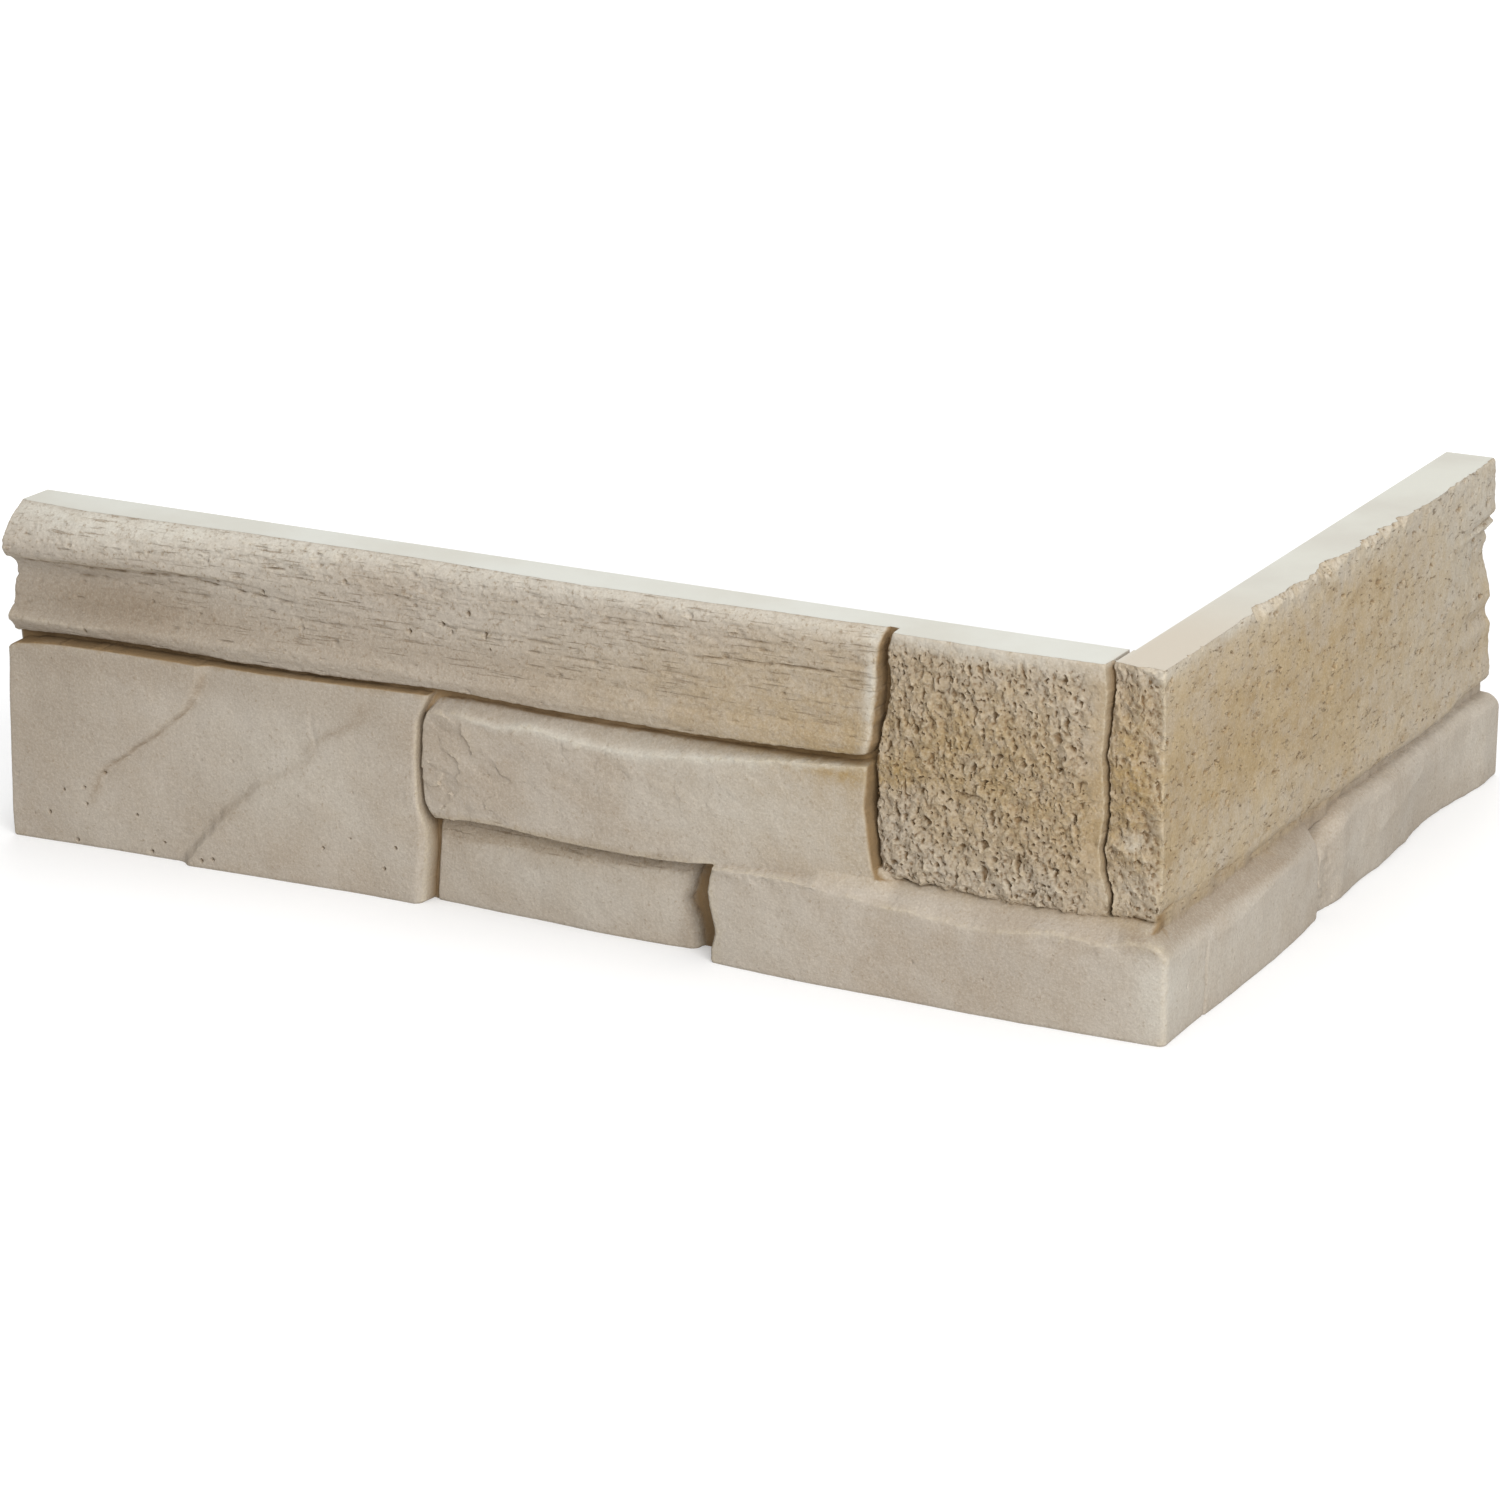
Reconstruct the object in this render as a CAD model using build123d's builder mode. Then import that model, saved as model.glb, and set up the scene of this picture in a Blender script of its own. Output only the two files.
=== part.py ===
"""Cast stone cladding corner: one L-shaped casting, one course high, moulded as eight stacked stones."""

import os
from math import cos, radians, sin

from build123d import *

# Overall sizes in millimetres. The origin is the inner corner of the L, on its bed.
course_height = 100.0
long_leg = 348.0  # from the inner corner to the long end, along -X
short_leg = 236.0  # from the inner corner to the short end, along +Y
joint_floor = 10.0  # thickness of the slab behind the joints

# Heights of the moulded bed joints, and distances of the upright ones from the inner corner
upper_bed = 62.5  # under the long top stone
lower_bed = 30.5  # over the corner stone
recess_bed = 26.0  # over the recessed stone
first_split = 207.0  # right end of the big smooth stone
second_split = 118.5  # left end of the corner stone
third_split = 66.0  # left side of the square stone
corner_split = 1.0  # the hairline beside the top corner stone
side_split = 91.5  # far end of the corner stone, on the short leg

# Widths of the joints
joint_width = 1.8
recess_gap = 7.0  # the wide joint between the recessed stone and the corner stone
hairline = 0.9
slit_depth = 3.0  # how deep the hairline is cut into the top face

# Depths of the stone faces, measured outward from the back planes
long_stone_depth = 23.0
big_stone_depth = 24.0
flake_rise = 2.6  # step of the raised flake on the big smooth stone, at the bed
flake_start = 59.0  # distance of that step from the long end
middle_stone_depth = 19.5
recessed_stone_depth = 15.5
square_stone_depth = 15.5
top_corner_depth = 15.2
corner_stone_depth = 22.8
end_stone_depth = 20.5

stone_root = 8.0  # depth at which a stone's own outline starts, inside the slab
side_slope = 4.0  # degrees that the sides of a stone lean in towards its face
edge_round = 2.2  # rounding of the outside corner's edge
crease = 5.0  # distance of the shallow crease in the corner stone from the inner corner, on the short leg
overrun = 20.0  # how far a stone is drawn past an end that the panel cuts

# The long leg's face: local x runs along the leg, local y is height, and the normal points outward.
long_face = Plane.XZ


def wavy(start, end, wavers):
    """Evenly spaced points from start to end, the inner ones pushed left of the line by the wavers."""
    line = Vector(*end) - Vector(*start)
    across = Vector(-line.Y, line.X).normalized()
    steps = len(wavers) + 1
    inner = [
        Vector(*start) + line * (step / steps) + across * waver
        for step, waver in enumerate(wavers, start=1)
    ]
    return [Vector(*start), *inner, Vector(*end)]


def shift(points, run=0.0, height=0.0):
    """The same line of points moved along the leg or up."""
    return [point + Vector(run, height) for point in points]


# Centre lines of the joints, uprights drawn from the bed up and bed joints from the long end inward.
first_upright = wavy(
    (-first_split, 0), (-first_split + 3.5, upper_bed + 0.8), (0.8, -0.5, 1.0, 5.0, 5.8, 5.7, 5.2)
)
second_upright = wavy((-second_split, 0), (-second_split + 1, recess_bed + 2), (1.2, -0.3, 0.5))
third_upright = wavy(
    (-third_split, lower_bed), (-third_split + 1.2, course_height), (1.6, 2.2, 3.0, 1.2, 0.9, 0.9)
)
corner_upright = [
    Vector(-corner_split + 1.7, lower_bed),
    Vector(-corner_split + 1.5, lower_bed + 8),
    Vector(-corner_split - 0.5, lower_bed + 14),
    Vector(-corner_split - 0.1, course_height - 6),
    Vector(-corner_split + 0.4, course_height),
]
long_bed_left = wavy(
    (-long_leg, upper_bed - 2.5), (-first_split + 3.5, upper_bed + 0.8), (0.9, 0.9, 0.2, -0.6, -0.6, -0.6)
)
long_bed_right = wavy(
    (-first_split + 3.5, upper_bed + 0.8), (-third_split - 2.5, upper_bed + 2.5), (-1.0, -1.2, -1.2, -0.8)
)
middle_bed = wavy(
    (-first_split + 1, recess_bed + 1), (-third_split - 1, lower_bed + 1.5), (0.6, -0.3, -1.4, -1.8, -1.6)
)


def facet(run, height, depth, turn=0.0, lean=0.0):
    """Dress the stone being built with a plane through a point of its face, on the long leg.

    Turn is how far the plane falls back along the leg, and lean how far it falls back upward, in degrees.
    """
    along = long_face.x_dir * (sin(radians(turn)) * cos(radians(lean)))
    upward = long_face.y_dir * sin(radians(lean))
    outward = long_face.z_dir * (cos(radians(turn)) * cos(radians(lean)))
    place = long_face.from_local_coords(Vector(run, height, depth))
    split(bisect_by=Plane(origin=place, z_dir=along + upward + outward), keep=Keep.BOTTOM)


def block(outline, depth):
    """The undressed stone: its outline drawn out from the slab, with sides that lean in."""
    with BuildSketch(long_face.offset(stone_root)) as footprint:
        with BuildLine():
            Polyline(*outline, close=True)
        make_face()
    extrude(footprint.sketch, amount=depth + 2 - stone_root, taper=side_slope)


def trim():
    """Cut the stone being built back to the bed, the top and the long end of the panel."""
    split(bisect_by=Plane.XY.offset(course_height), keep=Keep.BOTTOM)
    split(bisect_by=Plane.XY, keep=Keep.TOP)
    split(bisect_by=Plane(origin=(-long_leg, 0, 0), z_dir=(-1, 0, 0)), keep=Keep.BOTTOM)


def long_top_stone():
    """The striated top stone: a bull-nosed moulding whose ledge and ridge fade out along its length."""
    bottom = upper_bed - 4
    rise = course_height - bottom
    # Shares of the stone's height at which its section changes, from the top down.
    shares = (1.0, 0.965, 0.93, 0.86, 0.76, 0.71, 0.64, 0.59, 0.4, 0.22, 0.12, 0.0)
    # How far each of those lies behind the fullest point of the moulding, at stations from the long end.
    stations = (
        (0, (11.0, 8.5, 6.2, 3.0, 0.0, 0.0, 2.8, 5.6, 4.8, 0.9, 3.5, 5.0)),
        (24, (8.0, 5.0, 3.4, 1.2, -0.3, 0.4, 3.2, 5.4, 4.6, 1.2, 3.4, 5.0)),
        (52, (9.0, 6.6, 4.8, 3.0, 2.0, 2.4, 4.0, 5.2, 4.8, 1.8, 3.6, 5.4)),
        (84, (10.2, 8.2, 7.0, 5.6, 4.8, 4.8, 5.0, 5.4, 5.2, 2.8, 4.2, 6.0)),
        (130, (10.1, 8.6, 7.6, 6.6, 6.0, 5.9, 5.8, 5.8, 5.4, 3.6, 4.8, 6.4)),
        (190, (8.3, 7.6, 7.0, 6.5, 6.2, 6.1, 6.0, 6.0, 5.8, 4.4, 5.4, 6.8)),
        (240, (9.6, 8.2, 7.4, 6.8, 6.4, 6.2, 6.0, 6.0, 5.6, 4.2, 5.0, 6.8)),
        (long_leg - third_split + 4, (12.0, 10.0, 8.6, 7.4, 6.8, 6.6, 6.4, 6.2, 5.8, 4.6, 5.6, 7.2)),
    )
    with BuildPart() as shape:
        for run, falls in stations:
            with BuildSketch(Plane(origin=(run - long_leg, 0, 0), x_dir=(0, -1, 0), z_dir=(-1, 0, 0))):
                with BuildLine():
                    front = [
                        (long_stone_depth - fall, bottom + share * rise)
                        for fall, share in zip(falls, shares)
                    ]
                    Polyline((stone_root, course_height), *front, (stone_root, bottom), close=True)
                make_face()
        loft(ruled=True)
        with BuildSketch(long_face):
            with BuildLine():
                Polyline(
                    (-long_leg - overrun, upper_bed - 2.5 + joint_width / 2),
                    *shift(long_bed_left, height=joint_width / 2),
                    *shift(long_bed_right, height=joint_width / 2)[1:-1],
                    *shift(third_upright, run=-joint_width / 2)[3:],
                    (-third_split, course_height + overrun),
                    (-long_leg - overrun, course_height + overrun),
                    close=True,
                )
            make_face()
        extrude(amount=long_stone_depth + 2, mode=Mode.INTERSECT)
    return shape.part


def big_smooth_stone():
    """The tall smooth stone at the long end, with a flake raised on its inner half."""
    outline = [
        (-long_leg - overrun, -overrun),
        (-first_split - joint_width / 2, -overrun),
        *shift(first_upright, run=-joint_width / 2)[:-1],
        *reversed(shift(long_bed_left, height=-joint_width / 2)),
        (-long_leg - overrun, upper_bed - 2.5 - joint_width / 2),
    ]
    with BuildPart() as body:
        block(outline, big_stone_depth)
        facet(-long_leg, 0, big_stone_depth, turn=3)
        facet(-long_leg, upper_bed - 9, big_stone_depth - 0.3, turn=3, lean=25)
        facet(-long_leg, upper_bed - 6, big_stone_depth - 3, turn=2, lean=55)
        facet(-long_leg + 2, upper_bed / 2, big_stone_depth, turn=-25)
        facet(-first_split - 4, upper_bed / 2, big_stone_depth - 6, turn=25)
        trim()
    with BuildPart() as flake:
        block(outline, big_stone_depth)
        facet(-long_leg + flake_start, 0, big_stone_depth - 3.2 + flake_rise, turn=3.4, lean=1.4)
        facet(-long_leg + flake_start, 0, big_stone_depth - 3.2, turn=-32, lean=34)
        facet(-long_leg, upper_bed - 9, big_stone_depth, turn=3, lean=25)
        facet(-first_split - 4, upper_bed / 2, big_stone_depth - 4.5, turn=25)
        trim()
    return [body.part, flake.part]


def middle_smooth_stone():
    """The smooth pillow-faced stone under the long top stone."""
    outline = [
        *shift(middle_bed, height=joint_width / 2)[:-1],
        (-third_split - joint_width, lower_bed + 4),
        *shift(third_upright, run=-joint_width / 2)[1:3],
        *reversed(shift(long_bed_right, height=-joint_width / 2)),
        *reversed(shift(first_upright, run=joint_width / 2)[4:-1]),
    ]
    left = -first_split - 1
    right = -third_split - 2
    middle = (recess_bed + upper_bed) / 2
    with BuildPart() as shape:
        block(outline, middle_stone_depth)
        facet((left + right) / 2, middle, middle_stone_depth)
        facet(left + 30, middle, middle_stone_depth, turn=-2.5)
        facet(right - 25, middle, middle_stone_depth, turn=3)
        facet(left, middle, middle_stone_depth - 4, turn=-40)
        facet(right, middle, middle_stone_depth - 3.5, turn=45)
        facet(left, upper_bed - 8, middle_stone_depth, lean=20)
        facet(left, upper_bed - 5.5, middle_stone_depth - 1, lean=50)
        facet(left, recess_bed + 4.5, middle_stone_depth, lean=-35)
        facet(left, recess_bed + 2.5, middle_stone_depth - 2, lean=-65)
        facet(right, lower_bed + 5, middle_stone_depth - 3.5, turn=30, lean=-40)
    return shape.part


def recessed_stone():
    """The low stone set back under the middle one, with a ledge sloping up to it."""
    right = -second_split - recess_gap / 2
    outline = [
        (-first_split + joint_width / 2, -overrun),
        (right, -overrun),
        *shift(second_upright, run=-recess_gap / 2)[:-1],
        (right - 1, recess_bed),
        *reversed(shift(middle_bed, height=-joint_width / 2)[:4]),
        *reversed(shift(first_upright, run=joint_width / 2)[:4]),
    ]
    with BuildPart() as shape:
        block(outline, recessed_stone_depth)
        facet(-(first_split + second_split) / 2, 0, recessed_stone_depth)
        facet(-first_split + 40, 0, recessed_stone_depth, turn=-3.5)
        facet(right - 3, 0, recessed_stone_depth, turn=35)
        facet(-first_split, recess_bed - 6, recessed_stone_depth, lean=30)
        facet(-first_split, recess_bed - 4, recessed_stone_depth - 1.5, lean=55)
        trim()
    return shape.part


def square_stone():
    """The rough square stone beside the outside corner."""
    outline = [
        (-third_split + 5, lower_bed + joint_width / 3),
        *shift(corner_upright, run=-hairline / 2),
        (-corner_split - hairline / 2, course_height + overrun),
        (-third_split + 1.2 + joint_width / 2, course_height + overrun),
        *reversed(shift(third_upright, run=joint_width / 2)[1:]),
        (-third_split + joint_width / 2, lower_bed + 2.5),
    ]
    with BuildPart() as shape:
        block(outline, square_stone_depth)
        facet(-third_split / 2, course_height / 2, square_stone_depth)
        facet(-third_split + 14, course_height / 2, square_stone_depth, turn=-5)
        facet(-third_split + 2, course_height / 2, square_stone_depth - 1.8, turn=-35)
        facet(-third_split, course_height - 14, square_stone_depth, lean=10)
        facet(-third_split, course_height - 4, square_stone_depth - 2, turn=-2, lean=35)
        facet(-third_split, lower_bed + 6, square_stone_depth, lean=-14)
        trim()
    return shape.part


def corner_rings(rings, edge):
    """Loft up through plan outlines that turn the outside corner, whose upright edge is rounded."""
    with BuildPart() as shape:
        for height, front, side in rings:
            with BuildSketch(Plane.XY.offset(height)) as ring:
                start = (front[0][0], -stone_root)
                finish = (stone_root, side[-1][1])
                corner = Vector(side[0][0], front[-1][1])
                with BuildLine():
                    Polyline(start, *front, corner, *side, finish, (stone_root, -stone_root), close=True)
                make_face()
                fillet(ring.vertices().sort_by_distance((corner.X, corner.Y, height))[0], edge)
        loft(ruled=True)
    return shape.part


def top_corner_stone():
    """The stone over the corner: its end shows on the long face and its length is the short leg's."""
    # How far the stone leans back at each level, and how its side swells along the short leg.
    levels = (
        (0.0, (0.2, 0.6, 0.4, 1.2, 1.6, 1.9)),
        (0.3, (0.2, 0.7, 0.6, 1.2, 1.7, 1.6)),
        (0.5, (0.3, 0.8, 0.7, 1.4, 1.6, 2.0)),
        (1.8, (0.6, 1.0, 1.9, 1.6, 2.9, 2.6)),
        (3.2, (0.8, 1.0, 2.0, 1.2, 3.0, 2.2)),
    )
    rings = []
    for joint, (fall, swell) in zip(corner_upright, levels):
        depth = top_corner_depth - fall
        front = [(joint.X + hairline / 2, 0.8 - depth)]
        reach = short_leg / (len(swell) - 1)
        side = [(depth + more, max(step * reach, 1)) for step, more in enumerate(swell)]
        rings.append((joint.Y, front, side))
    return corner_rings(rings, edge_round)


def corner_stone():
    """The bottom stone that turns the corner, with a ledge that slopes up to the stones over it."""
    left = -second_split + 4
    right = side_split - joint_width / 2
    # Height, and how far the face stands back there from its full depth.
    levels = (
        (0, 0.4),
        (lower_bed / 2, 0.0),
        (lower_bed - 5.5, 0.5),
        (lower_bed - 3.5, 2.2),
        (lower_bed, 8.5),
    )
    rings = []
    for height, fall in levels:
        depth = corner_stone_depth - fall
        front = [
            (left, 1.6 - depth),
            (left + 26, -depth - 0.4),
            (left + 80, -depth - 0.4),
            (depth - 6, 0.8 - depth),
        ]
        side = [
            (depth - 2.0, 0),
            (depth - 2.9, crease),
            (depth - 2.2, crease + 1.5),
            (depth - 1.3, right / 2),
            (depth - 2.0, right * 0.8),
            (depth - 3.0, right),
        ]
        rings.append((height, front, side))
    return corner_rings(rings, edge_round)


def end_stone():
    """The stone that ends the lower course of the short leg, with a long hollow in its broken face."""
    start = side_split + joint_width / 2
    span = short_leg - start
    # Shares of the stone's length, the depth beyond the slab's there, and the height of its top edge.
    stations = (
        (0.0, 1.0, -8.0),
        (0.1, 0.2, -4.5),
        (0.18, -0.9, -3.5),
        (0.35, -0.9, -3.8),
        (0.48, -1.8, -3.2),
        (0.64, -2.8, -2.2),
        (0.82, -1.6, -2.0),
        (0.93, 1.0, -3.5),
        (1.0, 0.2, -5.0),
    )
    levels = ((0.0, 0.0), (0.5, 0.4), (0.82, 0.0), (0.95, -1.8), (1.0, -3.2), (1.08, -6.0))
    with BuildPart() as shape:
        for share, depth, drop in stations:
            with BuildSketch(Plane(origin=(0, start + share * span, 0), x_dir=(1, 0, 0), z_dir=(0, -1, 0))):
                with BuildLine():
                    top = lower_bed + drop
                    face = [(end_stone_depth + depth + swell, top * level) for level, swell in levels]
                    Polyline((stone_root, 0), *face, (stone_root, face[-1][1]), close=True)
                make_face()
        loft(ruled=True)
        split(bisect_by=Plane.XY.offset(lower_bed + 1), keep=Keep.BOTTOM)
    return shape.part


with BuildPart() as corner_panel:
    with BuildSketch():
        with BuildLine():
            Polyline(
                (0, 0),
                (-long_leg, 0),
                (-long_leg, -joint_floor),
                (joint_floor, -joint_floor),
                (joint_floor, short_leg),
                (0, short_leg),
                close=True,
            )
        make_face()
    extrude(amount=course_height)
    for make_stone in (
        long_top_stone,
        big_smooth_stone,
        middle_smooth_stone,
        recessed_stone,
        square_stone,
        top_corner_stone,
        corner_stone,
        end_stone,
    ):
        add(make_stone())
    # The hairline crosses the top face to the inner corner.
    with BuildSketch(Plane.XY.offset(course_height)):
        with Locations((-corner_split, -top_corner_depth / 2)):
            Rectangle(hairline, top_corner_depth + 2 * hairline)
    extrude(amount=-slit_depth, mode=Mode.SUBTRACT)

corner_panel.part.label = "corner_panel"
os.makedirs("parts", exist_ok=True)
export_step(corner_panel.part, "parts/corner_panel.step")
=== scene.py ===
"""Looks of the cast stone cladding corner: one closed relief mesh in procedural cast stone."""

import math

import bmesh
import bpy
import numpy as np
from mathutils import Euler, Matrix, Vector


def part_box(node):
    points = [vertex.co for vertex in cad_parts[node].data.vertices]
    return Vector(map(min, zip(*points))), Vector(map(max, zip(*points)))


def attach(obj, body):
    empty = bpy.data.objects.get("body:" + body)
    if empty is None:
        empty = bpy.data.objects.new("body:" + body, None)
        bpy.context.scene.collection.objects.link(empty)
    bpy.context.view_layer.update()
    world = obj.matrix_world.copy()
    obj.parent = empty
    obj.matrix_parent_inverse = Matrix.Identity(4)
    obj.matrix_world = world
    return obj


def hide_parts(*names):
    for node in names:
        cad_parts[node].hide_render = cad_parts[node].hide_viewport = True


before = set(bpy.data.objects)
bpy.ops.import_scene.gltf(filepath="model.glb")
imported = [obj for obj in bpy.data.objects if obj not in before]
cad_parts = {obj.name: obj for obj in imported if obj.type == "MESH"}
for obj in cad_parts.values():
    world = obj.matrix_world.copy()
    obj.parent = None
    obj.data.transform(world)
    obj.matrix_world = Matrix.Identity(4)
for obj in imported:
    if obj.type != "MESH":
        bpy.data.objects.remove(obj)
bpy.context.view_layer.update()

# Overall sizes, from the frame. The relief is worked out in millimetres.
MM = 0.001
low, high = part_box("corner_panel")
LONG_LEG = -low.x / MM
SHORT_LEG = high.y / MM
COURSE = high.z / MM

FLOOR_DEPTH = 10.5  # bottom of the joints, outward from the back planes
BED_DEPTH = 15.8  # the same between the long top stone and the big smooth one
SLIT_PLACE, SLIT_WIDTH, SLIT_DEPTH = -1.1, 0.9, 3.0  # the hairline across the top face
TRIANGLES = 188000  # of the finished mesh
FLATNESS = 0.02  # how far off its plane a point of a flat face may lie
SHARP_ANGLE = 50  # degrees between faces that meet in a sharp edge
COARSE, FINE = 0.44, 0.24  # steps of the grid, away from the joints and at them
JOINT_REACH = 2.6  # how far the fine steps go on either side of a joint
HAIRLINE = 0.8  # width of the joint beside the top corner stone
CORNER_BED = 30.8  # height at the outside corner of the joint under the top corner stone
STONES_END = -66  # where the long top stone and the middle one end
RECESS_JOINT, CORNER_JOINT, SQUARE_JOINT = -207, -118, -67  # upright joints of the long face
END_JOINT = 92  # upright joint of the short face


# Smooth lines and steps

def smooth_line(points, at):
    """The value at each place of a smooth line through (place, value) points."""
    xs, ys = (np.array(column, float) for column in zip(*points))
    slopes = np.gradient(ys, xs)
    place = np.clip(at, xs[0], xs[-1])
    i = np.clip(np.searchsorted(xs, place) - 1, 0, len(xs) - 2)
    span = xs[i + 1] - xs[i]
    t = (place - xs[i]) / span
    return (
        (2 * t**3 - 3 * t**2 + 1) * ys[i]
        + (t**3 - 2 * t**2 + t) * span * slopes[i]
        + (3 * t**2 - 2 * t**3) * ys[i + 1]
        + (t**3 - t**2) * span * slopes[i + 1]
    )


def ramp(value, start, end):
    """0 at start, 1 at end, with a smooth rise or fall between."""
    t = np.clip((value - start) / (end - start), 0, 1)
    return t * t * (3 - 2 * t)


def bell(distance, width):
    """1 at no distance, falling away softly over that width."""
    return np.exp(-((distance / width) ** 2))


def smooth_min(a, b, blend):
    """The lower of the two, rounded where they come within the blend of each other."""
    near = np.clip(0.5 + 0.5 * (b - a) / blend, 0, 1)
    return b + (a - b) * near - blend * near * (1 - near)


def away_from(a, b, points):
    """Distance to a polyline, and how far along it the nearest place lies, from 0 to 1."""
    nearest = np.full(np.shape(a), 1e9)
    along = np.zeros(np.shape(a))
    last = len(points) - 1
    for i, ((x0, z0), (x1, z1)) in enumerate(zip(points, points[1:])):
        dx, dz = x1 - x0, z1 - z0
        t = np.clip(((a - x0) * dx + (b - z0) * dz) / (dx * dx + dz * dz), 0, 1)
        distance = np.hypot(a - x0 - t * dx, b - z0 - t * dz)
        closer = distance < nearest
        nearest = np.where(closer, distance, nearest)
        along = np.where(closer, (i + t) / last, along)
    return nearest, along


# Noise and broken surfaces

def noise(a, b, seed):
    """Gradient noise of unit cell size, about -1 to 1."""
    angles = np.random.default_rng(seed).random((256, 256)) * 2 * math.pi
    ia, ib = np.floor(a).astype(int), np.floor(b).astype(int)
    fa, fb = a - ia, b - ib
    wa = fa**3 * (fa * (fa * 6 - 15) + 10)
    wb = fb**3 * (fb * (fb * 6 - 15) + 10)

    def corner(da, db):
        turn = angles[(ia + da) & 255, (ib + db) & 255]
        return np.cos(turn) * (fa - da) + np.sin(turn) * (fb - db)

    near = corner(0, 0) * (1 - wa) + corner(1, 0) * wa
    far = corner(0, 1) * (1 - wa) + corner(1, 1) * wa
    return 1.5 * (near * (1 - wb) + far * wb)


def layered(a, b, size, seed, octaves=4, gain=0.5, stretch=1.0):
    """Noise of several octaves. Size is its largest cell, and stretch lengthens it along a."""
    total, amount, scale = 0.0, 1.0, 1.0 / size
    for octave in range(octaves):
        total += amount * noise(a * scale / stretch, b * scale, seed + octave)
        amount *= gain
        scale *= 2
    return total


def scattered(a, b, cell, seed, stretch=1.0):
    """For nine nearby cells: squared distance to the point, offsets and four random numbers."""
    jitter = np.random.default_rng(seed).random((6, 128, 128))
    a, b = a / stretch / cell, b / cell
    ia, ib = np.floor(a).astype(int), np.floor(b).astype(int)
    for da in (-1, 0, 1):
        for db in (-1, 0, 1):
            ja, jb, *chances = jitter[:, (ia + da) & 127, (ib + db) & 127]
            away_a, away_b = a - ia - da - 0.15 - 0.7 * ja, b - ib - db - 0.15 - 0.7 * jb
            yield away_a**2 + away_b**2, away_a, away_b, chances


def pits(a, b, cell, seed, share, smallest, largest, stretch=1.0):
    """Round-bottomed pits from 0 to 1, one at most in each cell, in that share of the cells."""
    deepest = np.zeros(np.shape(a))
    for square, _, _, (chance, size, depth, _) in scattered(a, b, cell, seed, stretch):
        radius = (smallest + (largest - smallest) * size**2) / cell
        hollow = np.sqrt(np.clip(1 - square / radius**2, 0, 1)) * (0.4 + 0.6 * depth)
        deepest = np.maximum(deepest, hollow * (chance < share))
    return deepest


def lumps(a, b, cell, seed, stretch=1.0):
    """Rounded grains from 0 to 1 with sharp creases between them."""
    highest = np.full(np.shape(a), -9.0)
    for square, _, _, (lift, *_) in scattered(a, b, cell, seed, stretch):
        highest = np.maximum(highest, 1 - 1.5 * square - 0.5 * lift)
    return highest


def tilted(a, b, cell, seed, stretch, tilt):
    """For nine nearby cells, the squared distance to the cell's point and its plane's height."""
    for square, away_a, away_b, (lift, lean_a, lean_b, _) in scattered(a, b, cell, seed, stretch):
        yield square, -0.6 * lift + tilt * ((lean_a - 0.5) * away_a + (lean_b - 0.5) * away_b)


def shards(a, b, cell, seed, stretch=1.0, tilt=1.0):
    """Tilted flakes as a break leaves them, about -1 to 0, that meet in sharp ridges."""
    lowest = np.full(np.shape(a), 9.0)
    for square, plane in tilted(a, b, cell, seed, stretch, tilt):
        lowest = np.minimum(lowest, plane + 0.7 * square - 0.4)
    return lowest


def flakes(a, b, cell, seed, stretch=1.0, tilt=1.0):
    """Flat scars of split-off flakes, about -1 to 0, that meet in low steps."""
    nearest = np.full(np.shape(a), 9.0)
    level = np.zeros(np.shape(a))
    for square, plane in tilted(a, b, cell, seed, stretch, tilt):
        closer = square < nearest
        nearest = np.where(closer, square, nearest)
        level = np.where(closer, plane, level)
    return level


def rounded(depth, *edges):
    """Depth of a stone whose face falls away to its edges, and -1 outside it.

    Each edge is how far inside it a point lies, over what width the face falls, and by how much.
    """
    reach, fall = 0.0, 0.0
    for inside, width, drop in edges:
        near = np.clip(1 - inside / width, 0, 1.5) ** 2
        reach += near
        fall += near * drop
    drop = fall / np.maximum(reach, 1e-9)
    shoulder = 1 - np.sqrt(np.clip(1 - reach, 0, 1))
    return np.where(reach < 1, depth - drop * shoulder, -1.0)


def ledge(depth, z, lip, back, top, crease):
    """The face up to its lip, then a slope back to that depth at the top height."""
    slope = back + (depth - back) * (top - z) / np.maximum(top - lip, 0.5)
    return smooth_min(depth, np.maximum(slope, back), crease)


# Joint lines. Bed lines give height along a leg, uprights give the place along it at each height.
LONG_STONE_BOTTOM = [
    (-348, 62.0), (-344, 62.1), (-326, 63.1), (-290, 63.3), (-268, 62.7), (-246, 62.9),
    (-227, 63.4), (-202, 64.3), (-170, 63.4), (-126, 63.4), (-110, 63.8), (-81, 64.5), (-66, 65.5),
]
LONG_STONE_RIGHT = [
    (62, -69.9), (64.4, -69.6), (67.5, -68.2), (75, -67.6), (82, -66.9), (94, -66.8), (100, -66.0),
]
BIG_STONE_TOP = [
    (-348, 58.0), (-346, 59.3), (-342, 60.0), (-331, 60.9), (-308, 61.5), (-270, 61.4),
    (-246, 61.8), (-227, 62.3), (-203, 63.0),
]
BIG_STONE_RIGHT = [
    (0, -208.9), (5, -208.7), (18.7, -207.5), (23.3, -207.8), (28.3, -209.4), (34.8, -210.0),
    (49.3, -209.9), (55.1, -209.3), (60.6, -206.6), (64, -204.6),
]
MIDDLE_STONE_TOP = [
    (-209, 61.2), (-196, 62.0), (-170, 61.4), (-126, 61.5), (-110, 61.8), (-81, 62.4), (-66, 63.5),
]
MIDDLE_STONE_LIP = [
    (-209, 57.2), (-205, 57.5), (-196, 57.9), (-184, 56.7), (-172, 58.0), (-164, 56.9),
    (-151, 55.9), (-141, 55.6), (-124, 57.2), (-110, 58.5), (-95, 60.2), (-80, 61.6), (-66, 62.8),
]
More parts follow.
